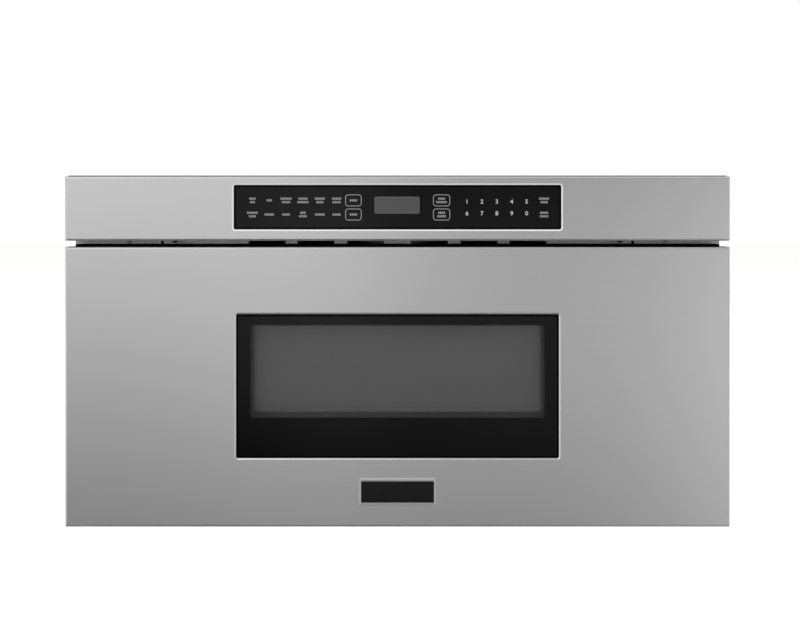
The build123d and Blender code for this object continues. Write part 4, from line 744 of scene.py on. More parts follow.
def turned(profile: np.ndarray, segments: int) -> np.ndarray:
    """Carries a profile of radius and height once round the Z axis.

    Args:
        profile: Points by 2, from the bottom to the top.
        segments: Steps in the turn.

    Returns:
        Profile points by segments by 3.
    """
    angle = np.arange(segments) * 2 * math.pi / segments
    radius, height = profile[:, :1], profile[:, 1:]
    return np.stack(
        [radius * np.cos(angle), radius * np.sin(angle), height + 0 * angle], axis=-1
    )


def facing(points: np.ndarray, outward: tuple[int, int, int]) -> np.ndarray:
    """Turns points made round +Z so that their top looks along the outward axis.

    Each point is its X, Y and Z times three unit axes, the third of which is outward.

    Args:
        points: Any array whose last axis is X, Y and Z.
        outward: The axis that the top looks along.

    Returns:
        The turned points.
    """
    third = np.array(outward, float)
    first = np.array([0, 0, 1.0]) if abs(third[2]) < 0.5 else np.array([1.0, 0, 0])
    second = np.cross(third, first)
    return points[..., :1] * first + points[..., 1:2] * second + points[..., 2:] * third


@dataclass(frozen=True)
class ScrewHead:
    """Pan head with a cross recess, one closed surface over radius and angle.

    The height is a dome, 1 - fall * (r / R)^4 of the head's height, less a groove that is
    deep where the sine of twice the angle is small and the radius is under the recess's
    reach. The core, where the two slots cross, is as deep all over.
    """

    radius: float = 4.0 * MM
    height: float = 2.2 * MM
    recess: float = 1.4 * MM
    reach: float = 0.6
    fall: float = 0.55
    slot: float = 0.5
    core: float = 0.1
    segments: int = 24

    def at(self, places: Sequence[Sequence[float]], outward: tuple[int, int, int]) -> Surface:
        """Heads that stand on a face.

        Args:
            places: Where each head's seat is.
            outward: The axis that the heads look along.

        Returns:
            All the heads as one surface.
        """
        share = np.array([1.0, 1.0, 0.94, 0.8, self.reach, 0.45, 0.25, 0.06])
        points = turned(np.stack([share * self.radius, 0 * share], axis=1), self.segments)
        angle = np.arange(self.segments) * 2 * math.pi / self.segments
        groove = np.clip(1 - np.abs(np.sin(2 * angle)) / self.slot, 0, 1)
        cross = np.maximum(groove, share[:, None] < self.core)
        depth = self.recess * (share < self.reach)[:, None] * cross
        points[..., 2] = self.height * (1 - self.fall * share[:, None] ** 4) - depth
        points[0, :, 2] = 0.0
        head = Surface.grid(facing(points, outward), (False, True), capped=True).outward()
        return head.copies(np.array(places, float))


def painted_highlight_edge(name: str, sheet: str, glass: str, body: str, finish: Finish) -> None:
    """Painted highlight: a pale line over the bevel of a glass's opening, for its bright edge.

    Its outer loop lies on the sheet's face and its inner loop at the bevel's depth, and
    both stand off the steel by the thickness of a print.

    Args:
        name: The line's name.
        sheet: The node that has the opening.
        glass: The node that fills it.
        body: The body that carries it.
        finish: The pale finish that paints the highlight.
    """
    (wide, tall), centre = upright(*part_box(glass))
    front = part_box(sheet)[0].y
    width, depth = BEVEL
    loops = (
        (0.0, depth), (width, 0.0), (width + INK, -INK), (width, -2 * INK), (-INK, depth - 2 * INK)
    )
    section = []
    for out, down in loops:
        grow = 2 * (REVEAL + out)
        outline = rounded_outline(wide + grow, tall + grow, GLASS_CORNER + out)
        section.append(on_front(outline, centre, front + down))
    Surface.grid(np.stack(section), (True, True)).outward().piece(name, finish, body, "stainless")


def shade_line(name: str, glass: str, body: str, width: float = 1.3 * MM) -> None:
    """Painted shade: a black line on the rim of a glass, for the dark gap round it.

    Args:
        name: The line's name.
        glass: The glass's node.
        body: The body that carries it.
        width: How wide the painted line is.
    """
    low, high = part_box(glass)
    (wide, tall), centre = upright(low, high)
    outer = rounded_outline(wide, tall, GLASS_CORNER)
    inner = rounded_outline(wide - 2 * width, tall - 2 * width, GLASS_CORNER - width / 2)
    ring(outer, inner, centre, low.y - INK, low.y).piece(name, PAINTED_SHADE_BLACK, body, "black_plastic")


def shade_strip(
    name: str, skin: str, body: str, section: tuple[float, float], end: float
) -> None:
    """Painted shade: a black strip along the top of a front skin, which darkens its top edge.

    Its section is a rectangle whose upper corners are drawn in by a tenth of its rise.

    Args:
        name: The strip's name.
        skin: The node that it lies on.
        body: The body that carries it.
        section: Its depth and its thickness.
        end: How far from the skin's ends it stops.
    """
    depth, rise = section
    low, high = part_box(skin)
    front, back = low.y + SHADE_STRIP_SET, low.y + SHADE_STRIP_SET + depth
    half = high.x - end
    outline = rounded_outline(2 * half, back - front, 1 * MM)
    layers = [
        np.insert(outline * (1 - share * rise / half), 2, high.z + lift, axis=1)
        for share, lift in (
            (0.0, 0.0), (0.0, (1 - SHADE_STRIP_CHAMFER) * rise), (SHADE_STRIP_CHAMFER, rise)
        )
    ]
    points = np.stack(layers) + (0.0, (front + back) / 2, 0.0)
    Surface.grid(points, (False, True), capped=True).outward().piece(
        name, PAINTED_SHADE_BLACK, body, "black_plastic"
    )


def dress(finish: Finish, *nodes: str) -> None:
    """Gives CAD nodes a finish through their material slots.

    Args:
        finish: What they are made of.
        nodes: The nodes' names.
    """
    for name in nodes:
        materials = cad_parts[name].data.materials
        materials.clear()
        materials.append(finish.material())
        LOG.info("%s: %s", name, finish.name)


# ------------------------------------------------------------------ the drawer's groups


@dataclass
class Group:
    """A sub-assembly. Each kind says what its nodes are made of and which pieces it adds."""

    coats: ClassVar[dict[Finish, tuple[str, ...]]] = {}

    def build(self) -> None:
        """Dresses the nodes and adds the pieces."""
        for finish, nodes in self.coats.items():
            dress(finish, *nodes)
        self.add_pieces()

    def add_pieces(self) -> None:
        """Adds what the solids leave out. A plain group adds nothing."""


@dataclass
class ControlPanel(Group):
    """Fascia above the drawer, with its touch glass, its legends and what is behind it.

    The label widths are in millimetres, one for each line of a label.
    """

    coats = {
        STAINLESS: ("control_fascia",),
        BLACK_GLASS: ("control_glass",),
        BLACK_ABS: ("control_housing", "display_module"),
        GREEN_BOARD: ("key_board",),
    }
    labels_mm: tuple[tuple[tuple[float, ...], ...], ...] = (
        ((7.5, 6.0), (6.4,), (13.0, 10.0), (10.5, 13.0), (11.5, 8.5), (11.0, 9.5)),
        ((12.5, 8.0), (11.0,), (9.0,), (6.5, 9.0), (11.5,), (9.5,)),
    )
    last_labels_mm: tuple[tuple[float, ...], ...] = ((11.5, 8.5), (9.5, 10.0))
    row_rise: float = 8.05 * MM
    row_lift: float = -0.24 * MM
    first_label: float = -165.5 * MM
    label_pitch: float = 19.2 * MM
    last_label: float = 167.2 * MM
    line_height: float = 2.5 * MM
    line_gap: float = 4.0 * MM
    dash: float = 1.7 * MM
    dash_gap: float = 0.45 * MM
    key_x: float = 50.3 * MM
    key_widths: tuple[float, float] = (18.8 * MM, 19.6 * MM)
    key_height: float = 13.6 * MM
    key_corner: float = 3.5 * MM
    key_line: float = 0.95 * MM
    left_key_dashes: float = 8.8 * MM
    right_key_dashes: tuple[float, float, float] = (8.4 * MM, 12.4 * MM, 10.4 * MM)
    first_digit: float = 79.3 * MM
    digit_pitch: float = 17.0 * MM
    digit_height: float = 4.7 * MM
    digit_rise: float = 6.73 * MM
    digit_drop: float = 0.26 * MM
    digit_cap: float = 0.69
    digit_bold: float = 0.09 * MM
    display_edge: float = 1.1 * MM
    display_drop: float = 0.7 * MM
    display_trim: float = 1.0 * MM
    display_corner: float = 2.2 * MM
    clip_x: float = 255.5 * MM
    clip_size: tuple[float, float, float] = (5 * MM, 9 * MM, 2.4 * MM)
    clip_inset: float = 8 * MM
    clip_sheet: float = 0.8 * MM
    clip_steps: int = 9
    shade_strip_section: tuple[float, float] = (8 * MM, 1.0 * MM)
    shade_strip_end: float = 3 * MM

    def __post_init__(self) -> None:
        """Finds the glass's face and the height midway between its two rows."""
        low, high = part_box("control_glass")
        self.face = low.y
        self.middle = (low.z + high.z) / 2 + self.row_lift

    def add_pieces(self) -> None:
        """Adds the painted shade and painted highlight round the glass, the painted shade on the
        fascia's top, the prints on the glass and the clips.
        """
        # Painted shade: a black line round the glass.
        shade_line("control_glass_shade_line", "control_glass", "chassis")
        # Painted highlight: a pale line on the bevel round the glass.
        painted_highlight_edge(
            "control_opening_edge", "control_fascia", "control_glass", "chassis", CONTROL_BEVEL_HIGHLIGHT
        )
        # Painted shade: a black strip that darkens the fascia's top edge.
        shade_strip("panel_top_shade_strip", "control_fascia", "chassis", self.shade_strip_section, self.shade_strip_end)
        self.labels()
        self.keys()
        self.digits()
        self.display()
        self.clips()

    def rows(self) -> tuple[float, float]:
        """Heights of the upper and the lower row."""
        return self.middle + self.row_rise, self.middle - self.row_rise

    def dashed(
        self, centre: tuple[float, float], widths: Sequence[float]
    ) -> tuple[np.ndarray, np.ndarray]:
        """Dashes that stand for one label of one or two lines.

        Args:
            centre: X and Z of the label.
            widths: Width of each line.

        Returns:
            The dashes' centres and sizes.
        """
        centres, sizes = [], []
        for number, width in enumerate(widths):
            count = max(2, round(width / (self.dash + self.dash_gap)))
            pitch = width / count
            x = centre[0] + (np.arange(count) - (count - 1) / 2) * pitch
            z = centre[1] + ((len(widths) - 1) / 2 - number) * self.line_gap
            centres.append(np.stack([x, np.full(count, z)], axis=1))
            sizes.append(np.tile([pitch - self.dash_gap, self.line_height], (count, 1)))
        return np.concatenate(centres), np.concatenate(sizes)

    def labels(self) -> None:
        """Generic dashes where the touch keys have their legends."""
        found = []
        for widths, z in zip(self.labels_mm, self.rows()):
            for number, label in enumerate(widths):
                x = self.first_label + number * self.label_pitch
                found.append(self.dashed((x, z), [width * MM for width in label]))
        for label, z in zip(self.last_labels_mm, self.rows()):
            found.append(self.dashed((self.last_label, z), [width * MM for width in label]))
        self.print_dashes("legend_dashes", found)

    def print_dashes(self, name: str, found: list[tuple[np.ndarray, np.ndarray]]) -> None:
        """Prints dashes on the glass as one piece.

        Args:
            name: The piece's name.
            found: Centres and sizes of the dashes of each label.
        """
        centres, sizes = (np.concatenate(part) for part in zip(*found))
        dashes(centres, sizes, self.face).piece(name, LEGEND_INK, "chassis", "white_plastic")

    def keys(self) -> None:
        """Outlined keys beside the display, with dashes inside them."""
        line, outlines = self.key_line, []
        for x, width in zip((-self.key_x, self.key_x), self.key_widths):
            outer = rounded_outline(width, self.key_height, self.key_corner)
            inner = rounded_outline(
                width - 2 * line, self.key_height - 2 * line, self.key_corner - line
            )
            for z in self.rows():
                outlines.append(ring(outer, inner, (x, z), self.face - INK, self.face))
        outlines[0].joined(*outlines[1:]).piece(
            "key_outlines", LEGEND_INK, "chassis", "white_plastic"
        )
        upper, *lower = self.right_key_dashes
        found = [self.dashed((-self.key_x, z), [self.left_key_dashes]) for z in self.rows()]
        for z, width in zip(self.rows(), lower):
            found.append(self.dashed((self.key_x, z), [upper, width]))
        self.print_dashes("key_dashes", found)

    def digits(self) -> None:
        """Number keys in two rows, from the built-in face, made a mesh in place."""
        middle = self.middle - self.digit_drop
        parts = [
            self.digit_surface(digit, self.first_digit + number * self.digit_pitch, middle + rise)
            for text, rise in (("12345", self.digit_rise), ("67890", -self.digit_rise))
            for number, digit in enumerate(text)
        ]
        parts[0].joined(*parts[1:]).piece("number_keys", DIGIT_INK, "chassis", "white_plastic")

    def digit_surface(self, digit: str, x: float, z: float) -> Surface:
        """One digit as a thin closed solid on the glass.

        Args:
            digit: The character.
            x: Middle of the digit.
            z: Middle of the digit.

        Returns:
            Its surface, upright on the glass.
        """
        curve = bpy.data.curves.new("digit", "FONT")
        curve.body = digit
        curve.size = self.digit_height / self.digit_cap
        curve.align_x = "CENTER"
        curve.align_y = "CENTER"
        curve.extrude = INK / 2
        curve.offset = self.digit_bold
        curve.resolution_u = 3
        holder = placed("digit", curve)
        bpy.context.view_layer.update()
        evaluated = holder.evaluated_get(bpy.context.evaluated_depsgraph_get())
        mesh = bpy.data.meshes.new_from_object(evaluated)
        flat = np.zeros(len(mesh.vertices) * 3, np.float32)
        mesh.vertices.foreach_get("co", flat)
        flat = flat.reshape(-1, 3).astype(float)
        depth = self.face - INK / 2 - flat[:, 2]
        points = np.stack([flat[:, 0] + x, depth, flat[:, 1] + z], axis=1)
        by_size: dict[int, list[list[int]]] = {}
        for polygon in mesh.polygons:
            by_size.setdefault(len(polygon.vertices), []).append(list(polygon.vertices))
        bpy.data.objects.remove(holder)
        bpy.data.curves.remove(curve)
        bpy.data.meshes.remove(mesh)
        return Surface(points, [np.array(group) for group in by_size.values()]).outward()

    def display(self) -> None:
        """The display's window in the print, with a paler edge round the film."""
        low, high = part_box("display_module")
        width, height = high.x - low.x - self.display_trim, high.z - low.z
        centre = (low.x + width / 2, (low.z + high.z) / 2 - self.display_drop)
        outer = rounded_outline(width, height, self.display_corner)
        inner = rounded_outline(
            width - 2 * self.display_edge, height - 2 * self.display_edge,
            self.display_corner - self.display_edge,
        )
        ring(outer, inner, centre, self.face - INK, self.face).piece(
            "display_edge", LCD_EDGE, "chassis", "black_plastic"
        )
        plate(inner, centre, self.face - INK / 2, self.face, INK / 4).piece(
            "display_film", LCD_FILM, "chassis", "black_plastic"
        )

    def clips(self) -> None:
        """Two black spring clips that hold the fascia's lower return.

        Over half a turn, the depth goes with 1 less the cosine and the drop with the sine.
        The upper side is the same curve, raised by the sheet.
        """
        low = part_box("control_fascia")[0]
        turn = np.linspace(0, math.pi, self.clip_steps)
        width, depth, drop = self.clip_size
        y = low.y + self.clip_inset + depth / 2 * (1 - np.cos(turn))
        z = low.z - drop * np.sin(turn)
        x = np.array([-width / 2, width / 2])
        top = np.stack(np.broadcast_arrays(x[None], y[:, None], z[:, None]), axis=-1)
        under = top[:, ::-1] + (0, 0, self.clip_sheet)
        strip = Surface.grid(np.concatenate([top, under], axis=1), (False, True), capped=True)
        places = np.array([[-self.clip_x, 0, 0], [self.clip_x, 0, 0]])
        strip.copies(places).outward().piece("fascia_clips", BLACK_ABS, "chassis", "black_plastic")


@dataclass
class DrawerFront(Group):
    """The drawer front: skin, window, badge, choke and what fastens them."""

    coats = {
        STAINLESS: ("door_skin",),
        SATIN_RIM: ("badge_plate",),
        CLEAR_GLASS: ("door_glass", "inner_window"),
        TUNNEL_PLASTIC: ("window_tunnel",),
        WINDOW_SCREEN: ("window_screen",),
        GREY_ENAMEL: ("door_frame",),
        CHOKE_COVER: ("choke_cover",),
        ZINC_SHEET: ("door_back", "latch_hooks"),
    }
    badge_field: tuple[float, float] = (82.9 * MM, 24.2 * MM)
    shade_strip_section: tuple[float, float] = (23 * MM, 3.0 * MM)
    shade_strip_end: float = 11.2 * MM
    sight_corner: float = 0.8 * MM
    badge_corner: float = 0.6 * MM
    badge_depths: tuple[float, float] = (0.15 * MM, 0.5 * MM)
    badge_bevel: float = 0.12 * MM
    bumper_radius: float = 7 * MM
    bumper_height: float = 5.2 * MM
    bumper_foot: tuple[float, float] = (0.25, 0.3)
    bumper_neck: float = 0.86
    bumper_pole: float = 0.12
    bumper_segments: int = 24
    bumper_dome: float = 0.4
    bumper_insets: tuple[float, float, float] = (30 * MM, 24 * MM, 40 * MM)
    screw_inset: float = 12 * MM
    screw_rise: float = 10 * MM
    side_screws_z: tuple[float, float] = (-100 * MM, 0.0)
    screw_columns: int = 7
    screw_height: float = 1.8 * MM

    def add_pieces(self) -> None:
        """Adds the window's print, the painted shade and highlight round its glass, the painted
        shade on the door's top, the badge's inlay and the small parts.
        """
        # Painted shade: a black line round the window's glass.
        shade_line("door_glass_shade_line", "door_glass", "drawer")
        # Painted highlight: a pale line on the bevel round the window's glass.
        painted_highlight_edge("window_opening_edge", "door_skin", "door_glass", "drawer", WINDOW_BEVEL_HIGHLIGHT)
        self.window_print()
        # Painted shade: a black strip that darkens the door's top edge and the gap above it.
        shade_strip("door_top_shade_strip", "door_skin", "drawer", self.shade_strip_section, self.shade_strip_end)
        self.badge_inlay()
        self.bumpers()
        self.screws()

    def window_print(self) -> None:
        """Black printed border of the glass, open over the see-through part."""
        low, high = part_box("door_glass")
        (wide, tall), middle = upright(low, high)
        outer = rounded_outline(wide - 2 * INK, tall - 2 * INK, GLASS_CORNER)
        sight = (SIGHT_HIGH[0] - SIGHT_LOW[0], SIGHT_HIGH[1] - SIGHT_LOW[1])
        inner = rounded_outline(*sight, self.sight_corner)
        inner = inner + (0, (SIGHT_LOW[1] + SIGHT_HIGH[1]) / 2 - middle[1])
        ring(outer, inner, middle, low.y - INK / 2, low.y).piece(
            "window_print", BLACK_GLASS, "drawer", "black_plastic"
        )

    def badge_inlay(self) -> None:
        """Bare black enamel that fills the badge's field."""
        low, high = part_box("badge_plate")
        centre = upright(low, high)[1]
        outline = rounded_outline(*self.badge_field, self.badge_corner)
        front, back = self.badge_depths
        plate(outline, centre, low.y + front, low.y + back, self.badge_bevel).piece(
            "badge_inlay", BADGE_ENAMEL, "drawer", "black_plastic"
        )

    def bumpers(self) -> None:
        """Rubber bumpers on the back of the door, with a neck and a domed head.

        The profile is a foot of full radius, a step in to the neck, and a quarter of an
        ellipse over the neck, carried round the axis.
        """
        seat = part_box("door_back")[1]
        turn = np.linspace(0, math.pi / 2, 6)
        neck, dome = self.bumper_neck, self.bumper_dome
        radius = np.concatenate([
            [1.0, 1.0, neck, neck], neck * np.cos(turn[1:-1]), [self.bumper_pole]
        ]) * self.bumper_radius
        height = np.concatenate([
            [0, *self.bumper_foot, 1 - dome], 1 - dome + dome * np.sin(turn[1:-1]), [1.0]
        ]) * self.bumper_height
        profile = np.stack([radius, height], axis=1)
        shape = facing(turned(profile, self.bumper_segments), (0, 1, 0))
        inset, rise, drop = self.bumper_insets
        x, low, high = seat.x - inset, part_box("door_back")[0].z + rise, seat.z - drop
        places = np.array([[s * x, seat.y, z] for s in (-1, 1) for z in (low, high)])
        solid = Surface.grid(shape, (False, True), capped=True).outward()
        solid.copies(places).piece("door_bumpers", RUBBER, "drawer", "black_plastic", smooth=True)

    def screws(self) -> None:
        """Screws that hold the door's back to its skin."""
        low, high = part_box("door_back")
        side, upper = high.x - self.screw_inset, high.z - self.screw_inset
        lower = low.z + self.screw_rise
        spread = np.linspace(-1, 1, self.screw_columns) * side
        places = [(x, high.y, z) for x in spread for z in (lower, upper)]
        places += [(s * side, high.y, z) for s in (-1, 1) for z in self.side_screws_z]
        ScrewHead(height=self.screw_height).at(places, (0, 1, 0)).piece(
            "door_screws", SCREW_ZINC, "drawer", "rail_steel"
        )


@dataclass
class DrawerBin(Group):
    """The bin that carries the food, and its tray."""

    coats = {GREY_ENAMEL: ("drawer_bin",), GLASS_CERAMIC: ("ceramic_tray",)}


@dataclass
class SlidesAndDrive(Group):
    """Telescopic slides, the rack and its motor."""

    coats = {
        PLATED_ZINC: (
            "rail_outer_left", "rail_outer_right", "rail_middle_left", "rail_middle_right",
            "rail_inner_left", "rail_inner_right", "rail_brackets",
        ),
        ZINC_SHEET: ("rail_supports", "motor_bracket"),
        ACETAL: ("drive_rack", "drive_pinion", "rack_guide"),
        BLACK_ABS: ("drive_motor",),
    }


@dataclass
class Cavity(Group):
    """The enamelled box that the bin slides into, its stirrer and its lamp."""

    coats = {
        GREY_ENAMEL: (
            "cavity_bottom", "cavity_top", "cavity_side_left", "cavity_side_right",
            "cavity_back",
        ),
        MICA: ("waveguide_cover",),
        ZINC_SHEET: ("waveguide", "oven_lamp", "stirrer_motor"),
        ALUMINIUM: ("stirrer_fan",),
    }


@dataclass
class PowerParts(Group):
    """Magnetron, transformer, capacitor, board and the cooling fan."""

    coats = {
        ALUMINIUM: ("magnetron", "capacitor"),
        CORE_STACK: ("transformer_core", "fan_motor"),
        COPPER_COIL: ("transformer_coils",),
        GREEN_BOARD: ("power_board",),
        ZINC_SHEET: ("fan_shroud",),
        BLACK_ABS: ("fan_wheel", "front_duct"),
    }


@dataclass
class Interlocks(Group):
    """Latch holders behind the flange, and the switch plungers in them."""

    coats = {ACETAL: ("interlock_holders", "switch_plunger_left", "switch_plunger_right")}


@dataclass
class Case(Group):
    """Sheet-metal case, the front flange and the screws that close it."""

    coats = {
        FLANGE_STEEL: ("front_flange",),
        ZINC_SHEET: (
            "side_panel_left", "side_panel_right", "top_cover", "base_plate", "rear_panel",
        ),
        BLACK_ABS: ("cord_gland",),
    }
    inset: float = 8 * MM
    first_screw_y: float = 60 * MM
    last_screw_inset: float = 40 * MM
    rear_columns: int = 5
    side_columns: int = 4
    trim_x: float = 312.5 * MM
    trim_z: float = 126.2 * MM
    trim_head: tuple[float, float] = (3.2 * MM, 1.8 * MM)
    slots_x: float = -128 * MM
    slot_length: float = 46 * MM
    slot_pitch: float = 12 * MM
    slot_spread: float = 0.75
    slot_reach: int = 4
    hood_width: float = 7 * MM
    hood_depth: float = 3 * MM
    hood_sheet: float = 0.7 * MM
    hood_steps: tuple[int, int] = (15, 6)

    def __post_init__(self) -> None:
        """Takes the rear panel's corners, by which screws and hoods are set."""
        self.low, self.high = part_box("rear_panel")

    def add_pieces(self) -> None:
        """Adds screws and the hoods over the rear slots."""
        self.screws()
        self.hoods()

    def screws(self) -> None:
        """Pan-head screws in the flange and along the edges of the rear and side panels."""
        side, top = self.high.x - self.inset, self.high.z - self.inset
        columns = np.linspace(-side, side, self.rear_columns)
        rear = [(x, self.high.y, z) for x in columns for z in (-top, top)]
        rear += [(s * side, self.high.y, 0.0) for s in (-1, 1)]
        last_y = self.low.y - self.last_screw_inset
        along = np.linspace(self.first_screw_y, last_y, self.side_columns)
        ScrewHead().at(rear, (0, 1, 0)).piece("rear_screws", SCREW_ZINC, "chassis", "rail_steel")
        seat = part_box("front_flange")[0].y
        trim = [(sign * self.trim_x, seat, self.trim_z) for sign in (-1, 1)]
        ScrewHead(*self.trim_head).at(trim, (0, -1, 0)).piece(
            "trim_screws", SCREW_ZINC, "chassis", "rail_steel"
        )
        for name, sign in (("left", -1), ("right", 1)):
            places = [(sign * self.high.x, y, z) for y in along for z in (-top, top)]
            ScrewHead().at(places, (sign, 0, 0)).piece(
                f"side_screws_{name}", SCREW_ZINC, "chassis", "rail_steel"
            )

    def hoods(self) -> None:
        """Pressed hoods over the rear cooling slots, open downwards.

        The hood's height is the depth times the square root of a sine along its length,
        times the sine of a quarter turn from its root to its lip.
        """
        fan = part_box("fan_wheel")
        middle_z = (fan[0].z + fan[1].z) / 2
        along = np.linspace(0, 1, self.hood_steps[0])[:, None]
        down = np.linspace(0, 1, self.hood_steps[1])[None]
        height = self.hood_depth * np.sqrt(np.sin(math.pi * along)) * np.sin(down * math.pi / 2)
        x = (along - 0.5) * self.slot_length + 0 * down
        z = (0.5 - down) * self.hood_width + 0 * along
        outer = np.stack([x, self.high.y + height, z], axis=-1)
        inner = outer[:, ::-1] - (0, self.hood_sheet, 0)
        shell = Surface.grid(np.concatenate([outer, inner], axis=1), (False, True), capped=True)
        aside = self.slot_spread * self.slot_length
        rows = range(-self.slot_reach, self.slot_reach + 1)
        places = np.array([
            [self.slots_x + side * aside, 0, middle_z + row * self.slot_pitch]
            for side in (-1, 1) for row in rows
        ])
        shell.copies(places).outward().piece(
            "rear_louvre_hoods", ZINC_SHEET, "chassis", "galvanised", smooth=True
        )


# ------------------------------------------------------------------ the studio


@dataclass(frozen=True)
class CardTones:
    """Tones of the reflection card, as radiance, and the lengths they change over.

    They were fitted to the tones that the steel in the photograph mirrors.
    """

    level: float = 1.039
    across: float = 0.939
    up: float = 1.366
    twist: float = -0.751
    bow: float = 0.642
    sag: float = -1.502
    dim: float = -0.898
    edge: float = 1.644
    spot: float = 1.0
    reach_x: float = 1.3
    middle_z: float = -0.20
    reach_z: float = 0.9
    edge_from: float = -0.25
    edge_to: float = 0.10
    far_from: float = 2.0
    far_to: float = 3.2
    far_left: float = 1.0
    far_right: float = 0.45
    crown: float = 0.25
    crown_from: float = 0.85
    crown_to: float = 1.65
    floor: float = 0.05


@dataclass
class Studio:
    """Pale floor, white background, soft lamps, a reflection card and the camera.

    The card stands in front of the object, behind the camera, and only reflections show
    it. Its tones are what the steel mirrors.
    """

    camera_distance: float = 1.862
    camera_height: float = 0.17
    camera_x: float = 2.85 * MM
    lens: float = 73.47
    sensor: float = 36.0
    shift: float = -0.1415
    sheet_half: float = 8.0
    card_y: float = -3.2
    card_z: tuple[float, float] = (-12.0, 3.2)
    tones: CardTones = CardTones()
    strip_y: float = 2.0
    strip_z: tuple[float, float] = (0.12, 2.6)
    room_tone: float = 0.25
    floor_colour: str = "F2F2F0"
    floor_half: float = 14.0
    floor_drop: float = 0.5 * MM
    step_over: float = 0.4 * MM
    step_margin: float = 3 * MM
    world_level: float = 0.55
    floor_glow: float = 0.5
    lamps: tuple[tuple[str, tuple[float, float, float], float, float], ...] = (
        ("key_lamp", (-1.6, -2.4, 2.6), 2.2, 46.0),
        ("fill_lamp", (2.2, -2.0, 1.8), 2.2, 30.0),
        ("back_lamp", (0.6, 2.6, 2.8), 2.4, 30.0),
    )
    lamp_target: tuple[float, float, float] = (0.0, 0.1, 0.0)

    def build(self) -> None:
        """Makes the floor, the card, the lamps, the world and the camera."""
        bpy.context.scene.view_settings.view_transform = "Standard"
        self.floor()
        self.card()
        self.dim_strip()
        for lamp in self.lamps:
            self.lamp(*lamp)
        self.world()
        self.camera()

    def floor(self) -> None:
        """One pale floor, level with the door's lower edge and raised under the case.

        The height is just under the door's lowest point, plus a step that rises, within
        the case's footprint, to just under its base, as the cabinet's shelf does.
        """
        base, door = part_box("base_plate"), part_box("door_skin")
        ground = door[0].z - self.floor_drop
        step = base[0].z - door[0].z + self.step_over
        reach, edge = self.floor_half, self.step_margin
        x, y = (
            np.array([-reach, low, low + edge, high - edge, high, reach])
            for low, high in ((base[0][k] + edge, base[1][k] - edge) for k in (0, 1))
        )
        raised = np.zeros((6, 6))
        raised[2:4, 2:4] = 1
        grid = np.stack([*np.meshgrid(x, y, indexing="ij"), ground + step * raised], axis=-1)
        tree, made = self.stage_piece("studio_floor", Surface.grid(grid, (False, False)))
        made.visible_glossy = False
        shader = add_node(tree, "ShaderNodeBsdfDiffuse", {"Color": linear(self.floor_colour)})
        dark, bright = (
            add_node(tree, "ShaderNodeEmission", {"Color": linear(tone), "Strength": strength})
            for tone, strength in (("000000", 1.0), ("FFFFFF", self.floor_glow))
        )
        camera = add_node(tree, "ShaderNodeLightPath").outputs["Is Camera Ray"]
        seen = add_node(tree, "ShaderNodeMixShader", {0: camera, 1: dark, 2: bright})
        total = add_node(tree, "ShaderNodeAddShader", {0: shader, 1: seen})
        add_node(tree, "ShaderNodeOutputMaterial", {"Surface": total})

    def card(self) -> None:
        """The reflection card, whose tone is a plane, a twist, two bows and three patches.

        With u and v as the place on the card, each held between -1 and 1, the tone is
        level + across * u + up * v + twist * u * v + bow * u^2 + sag * v^2 - dim * spot
        - edge * (step in x) * (1 + v) / 2, at least floor, + crown * (step in z). Each
        step is a smooth rise from 0 to 1, and the spot fades from the card's middle,
        where the camera stands. Far to either side the tone fades to that side's own.
        """
        tones = self.tones
        tree = self.reflector("reflection_card", self.card_y, self.card_z)
        place = add_node(tree, "ShaderNodeTexCoord").outputs["Object"]
        x, _, z = add_node(tree, "ShaderNodeSeparateXYZ", {"Vector": place}).outputs
        sockets = {0: place, 1: (0.0, self.card_y, tones.middle_z)}
        away = add_node(tree, "ShaderNodeVectorMath", sockets, operation="DISTANCE")
        aside = add_node(tree, "ShaderNodeMath", {0: x}, operation="ABSOLUTE")
        low_z, high_z = tones.middle_z - tones.reach_z, tones.middle_z + tones.reach_z
        names = ("Value", "From Min", "From Max", "To Min", "To Max")
        u, v, side, spot, edge, crown, far = (
            add_node(
                tree, "ShaderNodeMapRange", dict(zip(names, values)), interpolation_type=kind
            ).outputs[0]
            for kind, *values in (
                ("LINEAR", x, -tones.reach_x, tones.reach_x, -1.0, 1.0),
                ("LINEAR", z, low_z, high_z, -1.0, 1.0),
                ("LINEAR", x, -1.0, 1.0, tones.far_left, tones.far_right),
                ("SMOOTHSTEP", away.outputs["Value"], tones.spot, 0.0),
                ("SMOOTHSTEP", x, tones.edge_from, tones.edge_to),
                ("SMOOTHSTEP", z, tones.crown_from, tones.crown_to),
                ("SMOOTHSTEP", aside, tones.far_from, tones.far_to),
            )
        )
        upper = add_node(tree, "ShaderNodeMath", {0: v, 1: 0.5, 2: 0.5}, operation="MULTIPLY_ADD")
        total: float | bpy.types.Node = tones.level
        for first, second, share in (
            (u, 1.0, tones.across), (v, 1.0, tones.up), (u, v, tones.twist), (u, u, tones.bow),
            (v, v, tones.sag), (spot, 1.0, -tones.dim), (edge, upper, -tones.edge),
        ):
            term = add_node(tree, "ShaderNodeMath", {0: first, 1: second}, operation="MULTIPLY")
            sockets = {0: term, 1: share, 2: total}
            total = add_node(tree, "ShaderNodeMath", sockets, operation="MULTIPLY_ADD")
        total = add_node(tree, "ShaderNodeMath", {0: total, 1: tones.floor}, operation="MAXIMUM")
        sockets = {0: crown, 1: tones.crown, 2: total}
        total = add_node(tree, "ShaderNodeMath", sockets, operation="MULTIPLY_ADD")
        tone = add_node(tree, "ShaderNodeMix", {"Factor": far, 2: total, 3: side})
        light = add_node(tree, "ShaderNodeEmission", {"Color": linear("FFFFFF"), "Strength": tone})
        add_node(tree, "ShaderNodeOutputMaterial", {"Surface": light})

